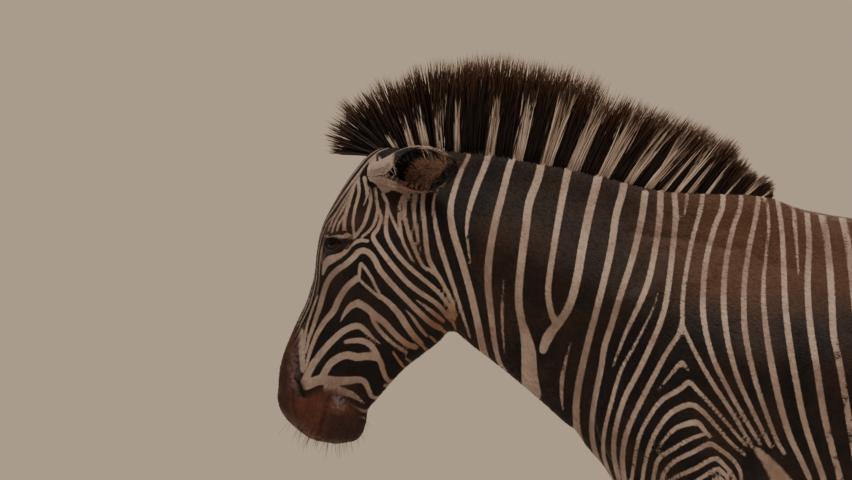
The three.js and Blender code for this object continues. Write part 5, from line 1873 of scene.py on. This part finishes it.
class ZEBRA_OT_tail(bpy.types.Operator):
    """Grow the tuft of the tail."""

    bl_idname = "zebra.tail"
    bl_label = "Tail tuft"

    def execute(self, context):
        rng = np.random.default_rng(SEEDS["tail"])
        count = TAIL_LOCKS
        z = rng.uniform(885, 1010, count)
        turn = rng.uniform(0, 2 * math.pi, count)
        outer = rng.uniform(0.5, 1, count)
        roots = np.stack([1177 + 14 * outer * np.cos(turn), 15 * outer * np.sin(turn), z], 1)
        way = np.stack([0.14 * np.cos(turn), 0.18 * np.sin(turn), -np.ones(count)], 1)
        way /= np.linalg.norm(way, axis=1)[:, None]
        lengths = (z - rng.uniform(555, 700, count)) * 0.99
        sag = np.stack([-0.11 * np.cos(turn), -0.15 * np.sin(turn), 0 * z], 1)
        widths = context.scene.zebra_sizes.tail_lock / MM * rng.uniform(0.7, 1.3, count)
        points, faces, lock, along = locks(roots, way, lengths, widths, sag, 0.012, rng, 7)
        piece = new_piece("tail_hair", points, faces, "mane", ("tail_tuft",))
        add_hair_numbers(piece.data, np.zeros(len(points)), rng.uniform(0, 1, count)[lock], along * 0.8)
        return {"FINISHED"}


LASHES = 44                   # for each eye
WHISKERS = 60                 # on each side of the chin and the lips
HOOF_HAIRS = 420              # round the top of each hoof


def loose_hair(kind, name, side, chosen, ways, length, width, count):
    """Hairs that grow from some of the skin's points. Their way is along the normal, with an offset
    and a scatter."""
    rng = np.random.default_rng(SEEDS[kind] + (side > 0))
    points, _, normals = straight_skin()
    pick = rng.choice(np.flatnonzero(chosen), count)
    roots = points[pick] + rng.normal(0, 1.2, (count, 3)) - normals[pick] * 1.5
    ways = normals[pick] * ways[0] + np.array(ways[1]) * [1, side, 1] + rng.normal(0, ways[2], (count, 3))
    ways /= np.linalg.norm(ways, axis=1)[:, None]
    lengths = rng.uniform(0.6, 1.1, count) * length
    sag = np.tile((0.0, 0.0, -0.25), (count, 1))
    hair, faces, lock, along = locks(roots, ways, lengths, np.full(count, float(width)), sag, 0.04, rng, 4)
    piece = new_piece(f"{kind}_{name}", hair, faces, "mane", ())
    add_hair_numbers(piece.data, np.zeros(len(hair)), rng.uniform(0, 1, count)[lock], along * 0.6)


class ZEBRA_OT_hairs(bpy.types.Operator):
    """Grow the eyelashes, the whiskers and the hair over the top of the hooves."""

    bl_idname = "zebra.hairs"
    bl_label = "Lashes, whiskers and hoof hair"

    def execute(self, context):
        points, _, _ = straight_skin()
        _, b, g, outside = eye_place(points)
        x, y, z = points.T
        for name, side in RIGHT_AND_LEFT.items():
            here = y * side > 0
            lid = here & (np.abs(outside - 1.5) < 1.6) & (b > 3) & (g > 0)
            forward = (0.9, GAZE * 0.9 + np.array((0, 0, -0.55)), 0.14)
            loose_hair("lashes", name, side, lid, forward, 13, 0.9, LASHES)
            chin = here & (x < -850) & (z < 965) & (np.abs(y) > 6)
            loose_hair("whiskers", name, side, chin, (1.0, (-0.2, 0, -0.7), 0.2), 34, 0.7, WHISKERS)
            for end in STANCE:
                top = here & (z < 101) & ((x < 330) if end == "fore" else (x > 330))
                loose_hair("hoof_hair", f"{end}_{name}", side, top, (0.85, (-0.3, 0, -0.9), 0.08), 17, 2.2,
                           HOOF_HAIRS)
        return {"FINISHED"}


class ZEBRA_OT_coat(bpy.types.Operator):
    """Grow the short coat in tufts all over the skin."""

    bl_idname = "zebra.coat"
    bl_label = "Coat"

    def execute(self, context):
        for part, row in enumerate(COAT_PARTS):
            for name, side in RIGHT_AND_LEFT.items():
                rng = np.random.default_rng(SEEDS["coat"] + 10 * part + (side > 0))
                points, faces, roots, tilt, marks = grow_tufts(part, side, rng)
                piece = new_piece(f"coat_{row[0]}_{name}", points, faces, "tufts", ())
                for mark in NUMBERS_ON_TUFTS:
                    add_numbers(piece.data, mark, marks[mark])
                tips = to_metres(roots + tilt * 10) - to_metres(roots)
                tips /= np.linalg.norm(tips, axis=1)[:, None]
                piece.data.normals_split_custom_set_from_vertices(np.repeat(tips, 4, axis=0))
                uv = np.repeat(unwrap(roots), 4, axis=0)
                uv += np.tile(np.array([(-1, -1), (1, -1), (0, 0), (0, 1)]) * PATCH, (len(roots), 1))
                layer = piece.data.uv_layers.new(name="OFBake")
                layer.uv.foreach_set("vector", uv[faces.ravel()].astype(np.float32).ravel())
        return {"FINISHED"}


CAMERA_PLACE = (-0.807, -12.0, 1.345)
FRAME_WIDTH = 1.789           # what the camera sees across the animal's middle, in metres
SENSOR = 36.0
CLIP_END = 60                 # the camera sees this far, in metres
FLOOR_SIDES = 128
AIR = ("#c9bcb2", 0.42)       # soft light from all round
BACKDROP = ("#c3ae95", 0.9)   # what the camera sees behind the floor
LIGHTS = (                    # name, where it comes from, its spread in degrees, strength and tint
    ("key", (0.45, -1.3, 3.4), 16, 1.9, "#fff1e0"),
    ("back", (1.0, 2.4, 2.6), 20, 1.1, "#fff4e8"),
)


def soft_light(name, source, spread, strength, tint):
    """Even light over the whole floor from that direction, as wide and soft as its spread."""
    lamp = bpy.data.lights.new(name, "SUN")
    lamp.angle = spread
    lamp.energy = strength
    lamp.color = linear(tint)[:3]
    x, y, z = source
    holder = new_object(name, lamp)
    holder.rotation_euler = (math.atan2(math.hypot(x, y), z), 0, math.atan2(x, -y))


class ZEBRA_OT_stage(bpy.types.Operator):
    """Set up the floor, the lights, the air around them and the camera."""

    bl_idname = "zebra.stage"
    bl_label = "Stage"

    def execute(self, context):
        scene = context.scene
        mesh = bpy.data.meshes.new("floor")
        radius = scene.zebra_sizes.floor_radius
        turns = np.linspace(0, 2 * math.pi, FLOOR_SIDES + 1)[:-1]
        rim = [(radius * math.cos(turn), radius * math.sin(turn), 0) for turn in turns]
        mesh.from_pydata(rim, [], [tuple(range(FLOOR_SIDES))])
        mesh.materials.append(material_named("floor"))
        floor = new_object("floor", mesh)
        world = bpy.data.worlds.new("studio")
        world.use_nodes = True
        air = world.node_tree.nodes["Background"]
        finish(air, Color=linear(AIR[0]), Strength=AIR[1])
        add = functools.partial(add_node, world.node_tree)
        backdrop = add("ShaderNodeBackground", 0, Color=linear(BACKDROP[0]), Strength=BACKDROP[1])
        seen = add("ShaderNodeLightPath", "Is Camera Ray")
        both = add("ShaderNodeMixShader", 0, i0=seen, i1=air.outputs[0], i2=backdrop)
        finish(world.node_tree.nodes["World Output"], Surface=both)
        scene.world = world
        for name, source, spread, strength, tint in LIGHTS:
            soft_light(name, source, math.radians(spread), strength, tint)
        camera = bpy.data.cameras.new("camera")
        camera.sensor_width = SENSOR
        camera.lens = SENSOR * -CAMERA_PLACE[1] / FRAME_WIDTH
        camera.clip_end = CLIP_END
        holder = new_object("camera", camera)
        holder.location = CAMERA_PLACE
        holder.rotation_euler = (math.pi / 2, 0, 0)
        scene.camera = holder
        return {"FINISHED"}


class ZEBRA_PT_panel(bpy.types.Panel):
    """Lists the steps that build the zebra, and its colours and sizes."""

    bl_label = "Zebra"
    bl_idname = "ZEBRA_PT_panel"
    bl_space_type = "VIEW_3D"
    bl_region_type = "UI"
    bl_category = "Zebra"

    def draw(self, context):
        for step in STEPS:
            self.layout.operator(step.bl_idname)
        for group in (context.scene.zebra_sizes, context.scene.zebra_colours):
            for name in group.__annotations__:
                self.layout.prop(group, name)


STEPS = (ZEBRA_OT_stage, ZEBRA_OT_skin, ZEBRA_OT_eyes, ZEBRA_OT_ears, ZEBRA_OT_hooves, ZEBRA_OT_mane,
         ZEBRA_OT_tail, ZEBRA_OT_hairs, ZEBRA_OT_coat)
CLASSES = (ZebraColours, ZebraSizes, *STEPS, ZEBRA_PT_panel)


def register():
    """Registers the classes and adds the settings to the scene."""
    for each in CLASSES:
        bpy.utils.register_class(each)
    bpy.types.Scene.zebra_colours = bpy.props.PointerProperty(type=ZebraColours)
    bpy.types.Scene.zebra_sizes = bpy.props.PointerProperty(type=ZebraSizes)


def unregister():
    """Takes the settings and the classes away again."""
    del bpy.types.Scene.zebra_sizes
    del bpy.types.Scene.zebra_colours
    for each in reversed(CLASSES):
        bpy.utils.unregister_class(each)


def main():
    """Builds everything."""
    register()
    for step in STEPS:
        group, name = step.bl_idname.split(".")
        getattr(getattr(bpy.ops, group), name)()


if __name__ == "__main__":
    main()
